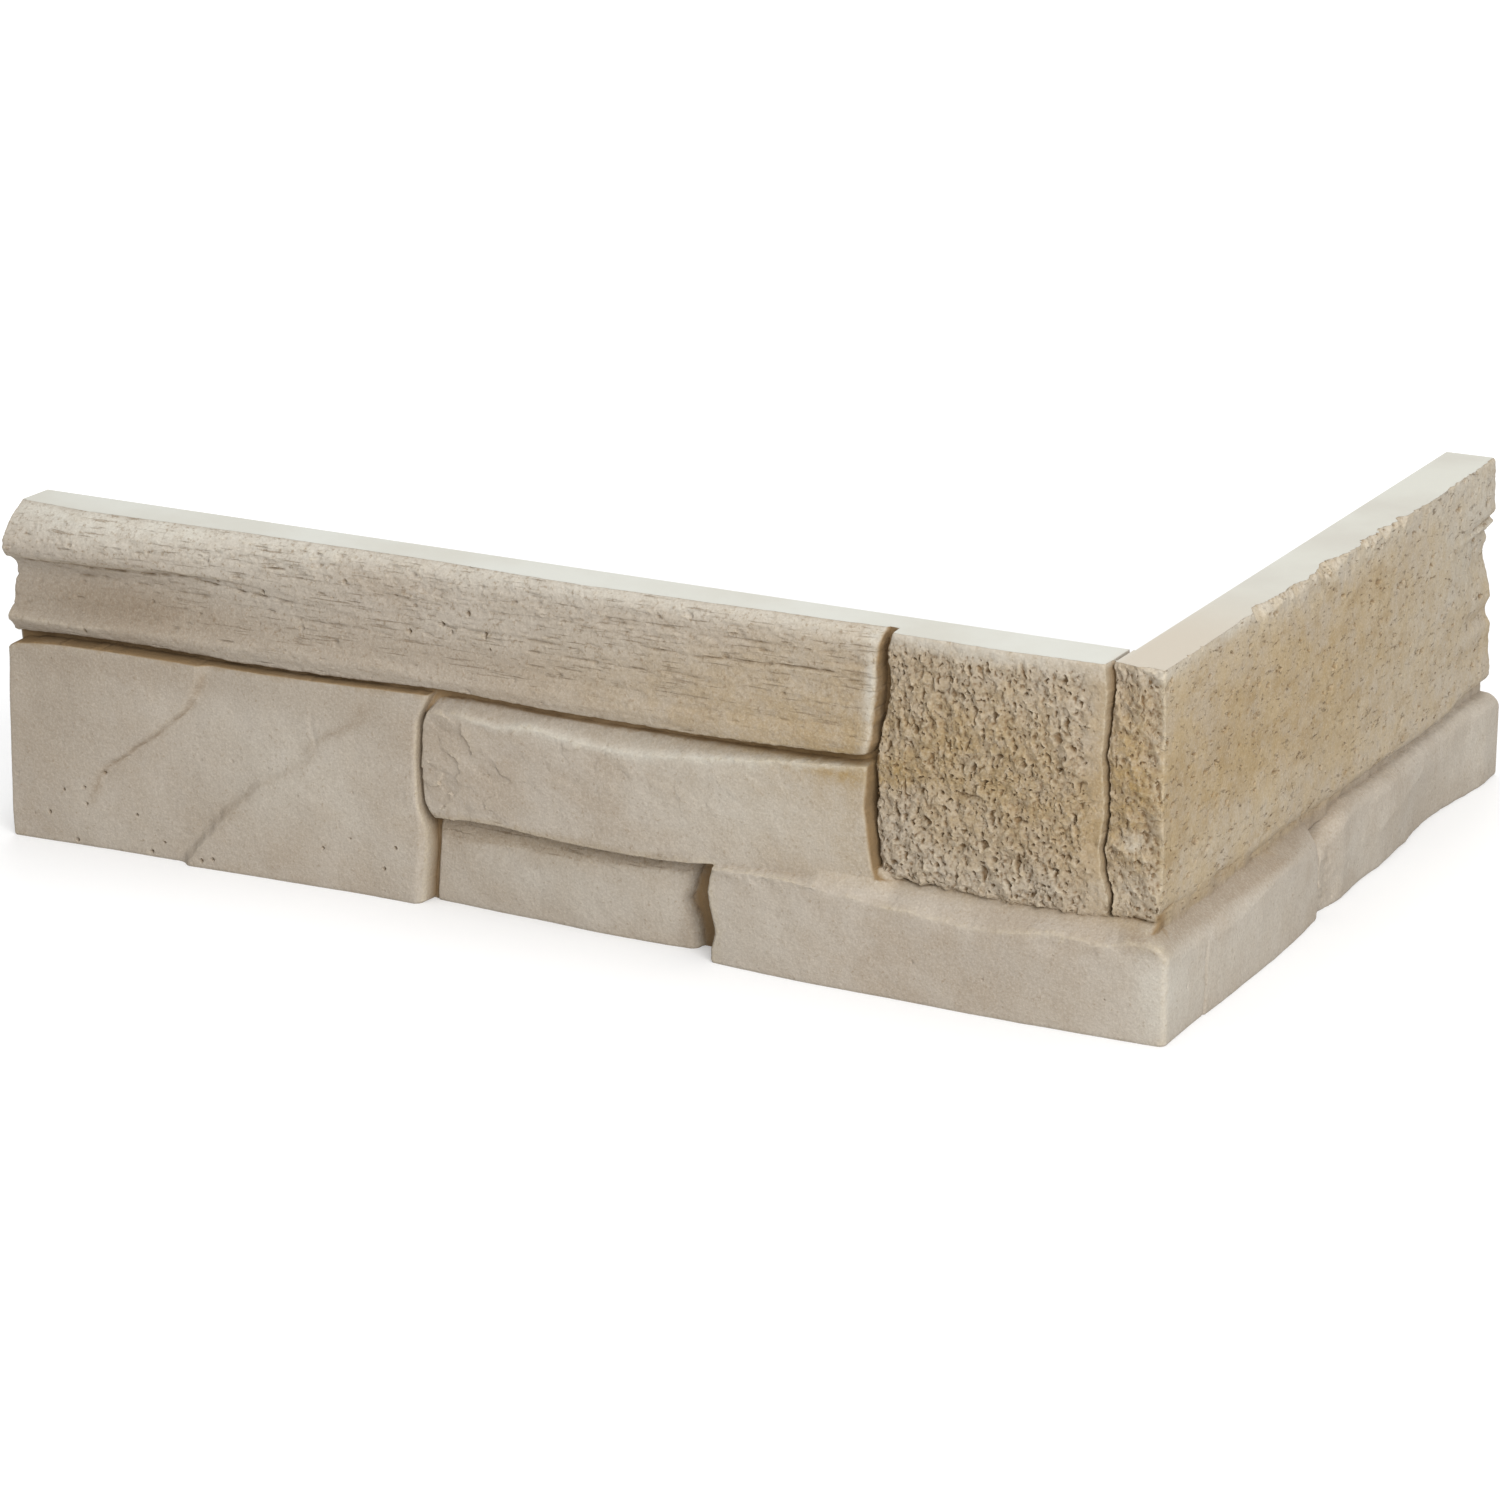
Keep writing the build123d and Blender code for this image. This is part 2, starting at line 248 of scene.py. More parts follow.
MIDDLE_STONE_BOTTOM = [
    (-209, 26.0), (-204, 26.3), (-185, 27.4), (-172, 26.6), (-150, 26.0), (-138, 26.0),
    (-124, 26.6), (-115, 27.6), (-103, 28.2), (-90, 28.6), (-83, 29.0), (-76, 30.2), (-66, 31.5),
]
MIDDLE_STONE_LEFT = [
    (25.0, -203.6), (26.5, -205.4), (29.5, -207.9), (33, -208.8), (37.2, -209.0), (46.7, -208.9),
    (55.2, -208.0), (62, -204.0),
]
MIDDLE_STONE_RIGHT = [
    (28, -65.0), (33.3, -66.5), (38.6, -67.6), (45, -68.4), (51.4, -69.2), (57, -68.7), (65, -68.2),
]
RECESS_TOP = [(-209, 25.4), (-199, 25.6), (-184, 26.4), (-150, 25.6), (-124, 26.2), (-115, 26.6)]
RECESS_LIP = [
    (-209, 20.8), (-199, 18.9), (-184, 19.9), (-171, 20.0), (-158, 20.2), (-145, 20.8),
    (-137, 21.3), (-115, 21.3),
]
RECESS_LEFT = [(0, -207.4), (12, -206.5), (20, -205.7), (27, -205.2)]
RECESS_RIGHT = [
    (0, -121.9), (3.3, -122.4), (8, -123.4), (14.5, -125.4), (16.6, -124.6), (20.6, -123.4),
    (27, -121.0),
]
CORNER_STONE_LEFT = [
    (0, -115.0), (4, -114.9), (8.2, -113.8), (14.7, -115.0), (21.3, -116.0), (27.8, -114.6),
    (31, -113.0),
]
CORNER_STONE_TOP = [(-120, 29.4), (-98, 30.0), (-70, 30.8), (-40, 31.2), (-10, 31.0), (25, 31.2)]
CORNER_STONE_LIP = [
    (-118, 27.2), (-106, 27.8), (-98, 28.2), (-85, 27.9), (-76, 27.2), (-70, 26.6), (-62, 25.4),
    (-55, 25.9), (-48, 25.0), (-42, 24.6), (-35, 24.0), (-24, 25.1), (-11, 26.6), (3, 25.8),
    (9, 27.2), (25, 26.8),
]
SQUARE_STONE_BOTTOM = [
    (-70, 32.0), (-62, 31.3), (-54, 31.2), (-40, 30.6), (-28, 29.9), (-19, 30.5), (-9, 30.0),
    (2, 30.6),
]
SQUARE_STONE_LEFT = [
    (29, -60.0), (30.5, -61.5), (31.7, -64.6), (36, -66.4), (41.7, -67.1), (51, -67.6),
    (56.7, -67.0), (62.2, -67.6), (68.8, -66.9), (75.5, -65.6), (80.4, -64.4), (88.7, -63.8),
    (93, -64.4), (100, -63.6),
]
SQUARE_STONE_RIGHT = [
    (29, 0.5), (37.5, 0.5), (41, -0.7), (44, -1.5), (60, -0.9), (80, -1.6), (92, -0.9), (100, -1.6),
]

CORNER_STONE_FAR = [(0, 90.6), (8, 91.4), (14, 90.8), (20, 91.6), (31, 93.0)]
CORNER_SIDE_LIP = [
    (-25, 26.8), (-13, 25.6), (9, 24.1), (32, 23.7), (61, 26.0), (79, 24.1), (89, 21.8), (95, 19.0),
]
END_STONE_NEAR = [(0, 91.4), (8, 92.1), (14, 91.6), (18, 92.2), (22, 93.0), (26, 94.5), (31, 96.0)]
END_STONE_TOP = [
    (88, 19.0), (94, 20.4), (101, 23.6), (109, 26.2), (135, 26.2), (162, 26.3), (190, 26.2),
    (211, 26.6), (225, 26.6), (236, 26.2), (240, 26.2),
]
TOP_CORNER_BOTTOM = [
    (-25, 31.6), (-4.5, 31.8), (9.5, 30.0), (32, 30.6), (50, 29.5), (83, 29.4), (101, 28.6),
    (134, 27.6), (154, 27.4), (185, 26.9), (202, 27.0), (213, 28.4), (226, 28.9), (240, 28.9),
]


def bed_edge(z):
    """The rounded lower edge of a stone that stands on the bed."""
    return (z + 0.4, 1.4, 1.1)


# The stones of the long face. x runs along the leg and z is height. Lengths are in millimetres, and
# each noise has a seed of its own.

LONG_STONE_LEDGE = [
    (-350, 84.5), (-335, 85.0), (-321, 85.6), (-307, 85.9), (-293, 86.6), (-271, 86.4),
    (-240, 84.0), (-60, 84.0),
]
LONG_STONE_CRACKS = [
    ([(-349, 83.4), (-331, 84.5), (-317, 84.6), (-299, 85.4), (-286, 86.1), (-272, 84.4),
      (-261, 83.4), (-248, 82.6), (-225, 81.8)], 0.4, 1.2),
    ([(-343, 84.0), (-334, 83.0), (-324, 82.2)], 0.4, 0.7),
    ([(-327, 81.6), (-318, 81.4), (-308, 81.9)], 0.4, 1.0),
    ([(-306, 81.5), (-294, 81.2), (-283, 81.0), (-270, 80.6)], 0.45, 0.9),
    ([(-262, 79.5), (-245, 78.2), (-228, 78.6), (-205, 77.4)], 0.4, 0.6),
    ([(-205, 83.5), (-190, 82.6), (-172, 82.8), (-160, 82.0)], 0.4, 0.8),
    ([(-168, 80.0), (-150, 79.4), (-128, 79.8), (-105, 79.0)], 0.35, 0.6),
    ([(-140, 86.0), (-126, 85.5), (-102.7, 86.2), (-89, 86.9), (-79.5, 86.8), (-73.8, 85.5),
      (-67, 85.3)], 0.35, 1.0),
    ([(-126, 91.3), (-108.5, 92.0), (-87, 92.0), (-67, 93.4)], 0.35, 0.5),
    ([(-126, 71.0), (-106.6, 71.7), (-87, 72.3), (-69, 73.6)], 0.45, 0.5),
]
LONG_STONE_HOLES = [
    (-261.0, 85.0, 0.7), (-193.3, 87.5, 0.8), (-201.8, 83.5, 0.7), (-198.6, 81.6, 0.6),
    (-187.9, 81.9, 0.8), (-212.4, 79.9, 0.7), (-186.0, 78.4, 0.5), (-321.0, 66.0, 0.6),
]
# The moulding: shares of its height, and by distance from the long end how far the face falls there
LONG_STONE_SHARES = (0.0, 0.12, 0.22, 0.3, 0.4, 0.59, 0.64, 0.71, 0.76, 0.86, 0.93, 0.965, 1.0)
LONG_STONE_FRONT = 23.0  # depth that it falls back from
LONG_STONE_STATIONS = [
    (0, (5.0, 3.5, 0.9, 4.0, 4.7, 5.4, 2.8, 0.2, 0.0, 2.7, 6.2, 8.5, 11.0)),
    (24, (5.0, 3.4, 1.2, 3.9, 4.6, 5.4, 3.2, 0.4, -0.2, 1.2, 3.6, 5.4, 8.6)),
    (52, (5.4, 3.6, 1.8, 3.8, 4.8, 5.2, 4.0, 2.4, 2.0, 3.0, 4.9, 6.8, 9.6)),
    (84, (6.0, 4.2, 2.8, 4.2, 5.2, 5.4, 5.0, 4.8, 4.8, 5.6, 7.0, 8.4, 10.8)),
    (130, (6.4, 4.8, 3.6, 4.7, 5.4, 5.8, 5.8, 5.9, 6.0, 6.6, 7.6, 8.8, 11.0)),
    (190, (6.8, 5.4, 4.4, 5.2, 5.8, 6.0, 6.0, 6.1, 6.2, 6.5, 7.0, 7.7, 9.0)),
    (240, (6.8, 5.0, 4.2, 5.0, 5.6, 6.0, 6.0, 6.2, 6.4, 6.8, 7.4, 8.3, 10.4)),
    (290, (7.2, 5.6, 4.6, 5.2, 5.8, 6.2, 6.4, 6.6, 6.8, 7.4, 8.6, 10.0, 12.4)),
]


def long_top_stone(x, z):
    """A bull-nosed moulding at the long end, flattening into a striated face."""
    bottom = 58.5
    share = (z - bottom) / (COURSE - bottom)
    share += 0.02 * noise(x / 45, z / 60, 11) * ramp(z, bottom, 70) * ramp(z, 100, 88)
    run = x + LONG_LEG
    places = [station for station, _ in LONG_STONE_STATIONS]
    falls = 0.0
    for (_, values), only in zip(LONG_STONE_STATIONS, np.eye(len(places))):
        falls += np.interp(run, places, only) * smooth_line(zip(LONG_STONE_SHARES, values), share)
    depth = LONG_STONE_FRONT - falls
    # The lip over the ledge at the long end
    over = z - smooth_line(LONG_STONE_LEDGE, x) + 0.25 * noise(x / 5, z / 9, 17)
    sharp = ramp(x, -235, -290) * 1.3
    depth += sharp * (ramp(over, -0.3, 0.5) - 0.5) * bell(over, 4.5)
    # Long striations, with a chipped and pitted band along the top
    depth += 0.12 * layered(x, z, 1.9, 21, 3, gain=0.7, stretch=12)
    depth += 0.3 * layered(x, z, 9, 25, 3, stretch=5)
    depth += 0.13 * layered(x, z, 2.4, 24, 3, gain=0.8, stretch=1.5)
    grooves = 0.6 * ramp(noise(x / 7, z / 0.8, 28), 0.45, 0.8)
    depth -= grooves * ramp(noise(x / 30, z / 12, 29), -0.3, 0.3)
    upper = 96.5 + 3.5 * ramp(x, -310, -250)
    lower = 4.0 * ramp(x, -300, -255) + 1.5 * noise(x / 14, z / 30, 36)
    band = ramp(over, lower, lower + 2.5) * ramp(z, upper + 0.8, upper - 1.2)
    band *= 1 - 0.3 * ramp(x, -200, -100)
    wx = x + 0.5 * noise(x / 2.2, z / 1.4, 30)
    wz = z - 0.06 * x + 0.3 * noise(x / 3.5, z / 1.6, 34)
    fibres = np.abs(layered(wx, wz, 1.5, 31, 3, gain=0.65, stretch=9))
    chips = 0.5 * shards(wx, wz, 1.7, 32, stretch=3.0, tilt=2.2)
    chips += 0.25 * layered(wx, wz, 3.0, 33, 3, gain=0.7, stretch=3.0)
    depth += 0.7 * band * (0.4 + 0.6 * ramp(x, -310, -250)) * (chips + 0.35)
    depth -= 0.28 * band * ramp(fibres, 0.2, 0.0)
    depth -= 0.6 * band * pits(wx, wz, 3.0, 35, 0.3, 0.3, 0.8, stretch=2.0)
    depth -= 0.8 * pits(x, z, 9.0, 37, 0.45, 0.35, 0.8, stretch=1.6)
    for hole_x, hole_z, radius in LONG_STONE_HOLES:
        away = np.hypot((x - hole_x) * 1.2, (z - hole_z) * 0.8)
        depth -= 1.5 * ramp(away, radius, 0.5 * radius)
    for line, width, deep in LONG_STONE_CRACKS:
        distance, along = away_from(x, z + 0.35 * noise(x / 6, z / 6, 41), line)
        broken = 0.3 + 0.7 * ramp(noise(x / 5, z / 3, 43), -0.4, 0.3)
        taper = ramp(along, 0, 0.05) * ramp(along, 1.0, 0.75)
        depth -= deep * broken * taper * bell(distance, width)
    bottom_edge = z - smooth_line(LONG_STONE_BOTTOM, x) + 0.3 * layered(x, z, 4, 51, 3)
    right_edge = smooth_line(LONG_STONE_RIGHT, z) - x + 0.35 * noise(x / 9, z / 2.5, 53)
    wide = 1.3 + 0.7 * ramp(z, 88, 74)
    end = (x + LONG_LEG + 0.4, 1.2, 0.7)
    return rounded(depth, (bottom_edge, 1.1, 1.3), (right_edge, wide, 1.2 * wide), end)


FIRST_VEIN = [
    (0, -326), (11.7, -321.5), (18.3, -318.4), (25, -315), (30.8, -307), (37.4, -298), (44, -289.5),
    (51.1, -283.4), (60.7, -279.5),
]
SECOND_VEIN = [
    (-1, -289), (8.4, -282.5), (18.4, -273.4), (28.6, -261), (36.7, -247.6), (43.3, -243.3),
    (50.2, -231.3), (58, -225), (63, -222.6),
]
BIG_STONE_HOLES = [
    (-328.9, 17.2, 0.45), (-322.0, 18.8, 0.45), (-321.9, 13.4, 0.5), (-334.6, 9.3, 0.6),
    (-305.1, 12.2, 0.45), (-281.8, 2.4, 0.6), (-278.1, 3.2, 0.6), (-217.1, 15.9, 0.45),
    (-241.4, 12.0, 0.4), (-315.4, 23.9, 0.5), (-232.4, 16.2, 0.4), (-300.5, 1.6, 0.6),
    (-326.0, 1.5, 0.6), (-296.0, 5.0, 0.4), (-221.0, 9.0, 0.4),
]
# Depths of the three leaves of the big stone, the left one by height and the others along the leg
LEFT_LEAF = [(0, 24.3), (30, 23.7), (64, 22.4)]
MIDDLE_LEAF = [(-348, 22.8), (-320, 22.2), (-289, 21.0), (-240, 20.7), (-205, 20.3)]
RIGHT_LEAF = [(-300, 23.9), (-287, 23.6), (-266, 22.1), (-239, 20.8), (-205, 18.6)]


def big_smooth_stone(x, z):
    """Smooth and cleft in three leaves, whose steps cross it as two slanting veins."""
    past_first = x - smooth_line(FIRST_VEIN, z) + 0.8 * layered(x, z, 7, 61, 2)
    past_second = x - smooth_line(SECOND_VEIN, z) + layered(x, z, 7, 63, 2)
    left_leaf = smooth_line(LEFT_LEAF, z)
    middle_leaf = smooth_line(MIDDLE_LEAF, x)
    middle_leaf -= 0.5 * ramp(z, 20, 60)
    right_leaf = smooth_line(RIGHT_LEAF, x)
    right_leaf -= 0.8 * ramp(z, 0, 60)
    spread = 2.0 + 26 * ramp(z, 24, 0)
    first_step = ramp(past_first, -0.6 - spread, 1.2 + 0.4 * spread)
    second_step = ramp(past_second, -3.0, 2.4)
    depth = left_leaf + (middle_leaf - left_leaf) * first_step
    depth += (np.maximum(right_leaf, middle_leaf - 0.6) - depth) * second_step
    shelf = ramp(z, 16, 28) * ramp(z, 64, 56)
    first_groove = 0.3 * bell(past_first - 0.4, 0.6) * shelf
    depth -= first_groove * ramp(noise(x / 4, z / 4, 62), -0.5, 0.3)
    depth -= 0.3 * bell(past_second + 1.6, 2.4)
    distance, along = away_from(x, z, [(-243.3, 43.0), (-244.5, 49.0), (-243.2, 56.5)])
    depth -= 0.3 * bell(distance, 0.9) * ramp(along, 1.0, 0.4)
    depth = depth + 0.5 * layered(x, z, 38, 65, 3) + 0.09 * layered(x, z, 8, 69, 3)
    depth -= 0.6 * pits(x, z, 12.0, 72, 0.4, 0.3, 0.6)
    for hole_x, hole_z, radius in BIG_STONE_HOLES:
        depth -= 1.5 * ramp(np.hypot(x - hole_x, z - hole_z), radius + 0.15, 0.4 * radius)
    top = smooth_line(BIG_STONE_TOP, x) - z + 0.15 * noise(x / 4, z / 9, 73)
    right = smooth_line(BIG_STONE_RIGHT, z) - x + 0.05
    wide = 1.5 + 1.6 * ramp(z, 27, 20)
    end = (x + LONG_LEG + 0.4, 1.4, 0.8)
    return rounded(depth, (top, 0.6, 0.6), (right, wide, 1.2 * wide), bed_edge(z), end)


def middle_smooth_stone(x, z):
    """Flat-faced, with a broad uneven bevel along its top."""
    depth = smooth_line([(-209, 18.2), (-190, 19.0), (-150, 19.6), (-100, 19.3), (-66, 18.2)], x)
    depth = depth + 0.25 * layered(x, z, 36, 81, 2, stretch=1.8) + 0.1 * layered(x, z, 8, 85, 3)
    # Shallow flake scars, most of them at the left end and along the top
    wx = x + 0.5 * z + 2.2 * noise(x / 6, z / 6, 82)
    wz = z + 1.6 * noise(x / 5, z / 5, 86)
    worn = ramp(noise(x / 14, z / 10, 88), -0.3, 0.1) * ramp(z, 38, 48) * ramp(x, -80, -120)
    worn = 0.15 + 0.85 * np.maximum(ramp(x, -174, -192), worn)
    depth += 0.8 * worn * (flakes(wx, wz, 6, 83, stretch=1.4, tilt=1.6) + 0.3)
    depth -= 0.7 * pits(x, z, 13.0, 87, 0.3, 0.3, 0.6)
    lip = smooth_line(MIDDLE_STONE_LIP, x) + 0.3 * layered(x, z, 5, 84, 4, gain=0.65)
    top_height = smooth_line(MIDDLE_STONE_TOP, x)
    depth = ledge(depth, z, lip, 14.4, top_height, 0.25)
    bottom = z - smooth_line(MIDDLE_STONE_BOTTOM, x) + 0.25 * noise(x / 5, z / 9, 89)
    left = x - smooth_line(MIDDLE_STONE_LEFT, z) + 0.15 * noise(x / 9, z / 3, 90)
    right = smooth_line(MIDDLE_STONE_RIGHT, z) - x + 0.2 * noise(x / 9, z / 4, 91)
    top = top_height - z
    return rounded(depth, (top, 0.5, 0.5), (bottom, 0.6, 0.6), (left, 1.0, 1.2), (right, 1.4, 1.5))


RECESS_FACE = [(-210, 13.4), (-190, 14.3), (-175, 14.9), (-153, 15.7), (-132, 15.5), (-120, 14.4)]


def recessed_stone(x, z):
    """Set back under the middle stone, with a ledge sloping up to it."""
    depth = smooth_line(RECESS_FACE, x)
    depth = depth + 0.35 * layered(x, z, 24, 101, 3, stretch=1.5) + 0.12 * layered(x, z, 5, 105, 3)
    depth -= 0.8 * pits(x, z, 9.0, 107, 0.35, 0.35, 0.8) * ramp(z, 12, 20)
    lip = smooth_line(RECESS_LIP, x) + 0.4 * layered(x, z, 5, 108, 4)
    depth = ledge(depth, z, lip, 13.4, smooth_line(RECESS_TOP, x) + 0.6, 0.3)
    split = flakes(x + noise(x / 3, z / 3, 110), z, 2.0, 106, stretch=3.5)
    depth += 0.7 * ramp(z, 19.5, 20.5) * (split + 0.3)
    left = x - smooth_line(RECESS_LEFT, z)
    right = smooth_line(RECESS_RIGHT, z) - x + 0.25 * noise(x / 9, z / 3, 109)
    return rounded(depth, (left, 0.8, 0.8), (right, 3.2, 4.0), bed_edge(z))


def crumbly(a, b, seed, upright=1.35):
    """Bush-hammered relief: packed crumbs of two sizes with ragged holes between them."""
    wa = a + 0.6 * noise(a / 2.6, b / 2.6, seed) + 0.4 * noise(a, b, seed + 1)
    wb = b + 0.6 * noise(a / 2.6, b / 2.6, seed + 2) + 0.4 * noise(a, b, seed + 3)
    relief = 0.3 * lumps(wa, wb / upright, 1.6, seed + 5)
    relief += 0.75 * layered(wa, wb / upright, 5, seed + 6, 5, gain=0.68)
    holes = 0.8 * ramp(noise(wa / 0.95, wb / 1.6, seed + 11), 0.4, 0.7)
    holes += ramp(noise(wa / 2.6, wb / 4.0, seed + 12), 0.42, 0.75)
    return relief + 0.05 - 1.2 * holes


def square_stone(x, z):
    """The crumbly stone beside the corner, smoother round its edges."""
    depth = smooth_line([(-68, 15.2), (-56, 16.0), (-34, 16.6), (-12, 16.2), (0, 15.4)], x)
    edge = 6 + 3 * noise(z / 9, z / 9, 113)
    inner = ramp(x, -0.3 * edge, -1.5 * edge) * ramp(z, 98.5, 94) * (0.8 + 0.2 * ramp(x, -66, -60))
    depth = depth + 0.45 * layered(x, z, 26, 111, 2) + (0.2 + 0.9 * inner) * crumbly(x, z, 115)
    top = COURSE + 0.6 - z + 0.2 * layered(x, z, 4, 125, 3)
    bottom = z - smooth_line(SQUARE_STONE_BOTTOM, x) + 0.5 * layered(x, z, 4, 127, 3)
    left = x - smooth_line(SQUARE_STONE_LEFT, z) + 0.25 * layered(x, z, 5, 129, 3)
    right = smooth_line(SQUARE_STONE_RIGHT, z) - x + 0.4 * layered(0 * x, z, 6, 131, 3, gain=0.6)
    wide = 1.3 + 1.3 * ramp(z, 60, 36)
    sides = (left, wide, 1.2 * wide), (right, 0.4, 0.4)
    return rounded(depth, (top, 2.0, 2.0), (bottom, 1.7, 1.9), *sides)


def top_corner_front(x, z):
    """The end of the top corner stone, which shows as a narrow upright strip."""
    depth = smooth_line([(29, 15.2), (60, 15.0), (90, 14.3), (100, 13.6)], z)
    wx = x + 0.9 * noise(x / 3, z / 3, 145)
    wz = z + 0.3 * x + 0.9 * noise(x / 3, z / 3, 146)
    broken = 1.2 * shards(wx, wz, 7.0, 144, tilt=2.0) + 0.7 * shards(wx, wz, 3.2, 147, tilt=2.0)
    depth = depth + 1.5 * broken * ramp(x, 19, 15) + 1.3
    depth += 0.6 * ramp(x, 19, 15) * crumbly(x, z, 141, 1.0)
    top = COURSE + 0.7 - z + 0.4 * layered(x, z, 4, 151, 2)
    bottom = z - 31.0 + 0.3 * layered(x, z, 3, 153, 2)
    left = x - smooth_line(SQUARE_STONE_RIGHT, z) - HAIRLINE
    left -= 0.4 * layered(0 * x, z, 6, 131, 3, gain=0.6)
    return rounded(depth, (top, 2.2, 2.0), (bottom, 1.6, 1.8), (left, 0.4, 0.4))


CORNER_FACE = [(-118, 21.6), (-90, 23.2), (-60, 23.3), (-20, 23.2), (0, 22.6), (25, 21.6)]


def corner_front(x, z):
    """The long face of the bottom stone that turns the corner, with its ledge."""
    depth = smooth_line(CORNER_FACE, x)
    depth = depth + 0.3 * layered(x, z, 34, 161, 3, stretch=1.5) + 0.1 * layered(x, z, 8, 165, 3)
    depth -= 0.7 * pits(x, z, 14.0, 167, 0.35, 0.3, 0.7)
    chipped = shards(x + 0.4 * z, z, 6, 166, stretch=1.7, tilt=1.8)
    depth += 0.7 * np.minimum(chipped + 0.7, 0.1) * ramp(z, 18, 24)
    lip = smooth_line(CORNER_STONE_LIP, x) + 0.25 * layered(x, z, 3.5, 169, 4, gain=0.7)
    # The ledge runs up into the middle stone at its right end
    joined = ramp(x, -90, -80) * ramp(x, -60, -66)
    top_height = smooth_line(CORNER_STONE_TOP, x) + 3.0 * joined
    depth = ledge(depth, z, lip, 13.6 + 2.2 * joined, top_height + 0.3, 0.5)
    worn = 0.15 + 0.5 * ramp(x, -50, -80)
    split = flakes(x + noise(x / 3, z / 3, 164), z, 3.0, 168, stretch=1.6)
    depth += worn * ramp(z, 24, 27) * (split + 0.3)
    top = top_height - z
    left = x - smooth_line(CORNER_STONE_LEFT, z) + 0.2 * noise(x / 9, z / 3, 170)
    return rounded(depth, (top, 0.6, 0.6), (left, 1.5, 1.8), bed_edge(z))


# The stones of the short face. y runs along the leg and z is height.

CORNER_SIDE_CRACK = [(5.0, -1), (5.6, 8), (4.8, 14), (6.4, 21)]


def corner_side(y, z):
    """The short face of the bottom stone that turns the corner."""
    depth = smooth_line([(-25, 20.6), (0, 20.2), (42, 21.3), (74, 20.6), (93, 19.6)], y)
    depth = depth + 0.3 * layered(y, z, 30, 171, 3, stretch=1.5) + 0.1 * layered(y, z, 8, 175, 3)
    distance, _ = away_from(y, z + 0.3 * noise(y / 3, z / 5, 176), CORNER_SIDE_CRACK)
    depth -= 0.4 * bell(distance, 0.4)
    depth += 0.3 * ramp(y, 4.8, 5.8) * ramp(z, 24, 20) * ramp(y, 40, 20)
    depth -= 0.6 * pits(y, z, 15.0, 177, 0.35, 0.3, 0.7)
    lip = smooth_line(CORNER_SIDE_LIP, y) + 0.4 * layered(y, z, 12, 179, 2)
    depth = ledge(depth, z, lip - 1.0, 12.2, 30.0, 3.4)
    far = smooth_line(CORNER_STONE_FAR, z) - y
    return rounded(depth, (31.4 - z, 0.8, 0.8), (far, 3.6, 3.6), bed_edge(z))


END_STONE_FACE = [
    (90, 21.4), (103, 20.8), (117, 19.6), (141, 19.5), (160, 18.7), (183, 17.8), (210, 18.8),
    (227, 21.2), (240, 20.2),
]


def end_stone(y, z):
    """Broken in soft facets, with a long hollow in its face."""
    depth = smooth_line(END_STONE_FACE, y)
    facets = shards(y + 0.5 * z, z, 17, 181, stretch=1.5, tilt=1.5)
    depth = depth + 2.0 * facets + 1.3 + 0.12 * layered(y, z, 5, 185, 3)
    # Rough and lower beside the corner stone
    broken = shards(y + 0.7 * z, z, 6, 183, stretch=1.3, tilt=1.8)
    depth += ramp(y, 109, 95) * (1.2 * broken - 1.6 + 0.3 * layered(y, z, 3, 184, 3))
    depth += (20.7 - depth) * ramp(y, 222, 236)
    depth -= 0.7 * pits(y, z, 12.0, 187, 0.3, 0.35, 0.8)
    top = smooth_line(END_STONE_TOP, y) - z + 0.3 * layered(y, z, 7, 189, 3)
    near = y - smooth_line(END_STONE_NEAR, z) + 0.4 * noise(y / 5, z / 2.5, 191)
    return rounded(depth, (top, 4.2, 5.0), (near, 1.0, 1.0), (z + 0.4, 1.6, 1.4))


TOP_CORNER_FACE = [
    (-20, 15.0), (6, 15.3), (54, 15.4), (80, 15.9), (113, 16.0), (155, 16.6), (190, 17.0),
    (240, 17.0),
]
END_PROFILE = [
    (26, 16.2), (30.6, 17.1), (44.8, 16.2), (48.1, 16.6), (52.7, 14.8), (56.5, 16.0), (62.6, 14.8),
    (72.9, 13.1), (75, 13.8), (77.6, 13.2), (80.3, 15.8), (81.5, 14.7), (82.5, 15.6), (88.4, 16.2),
    (98.2, 15.8), (100, 15.6),
]


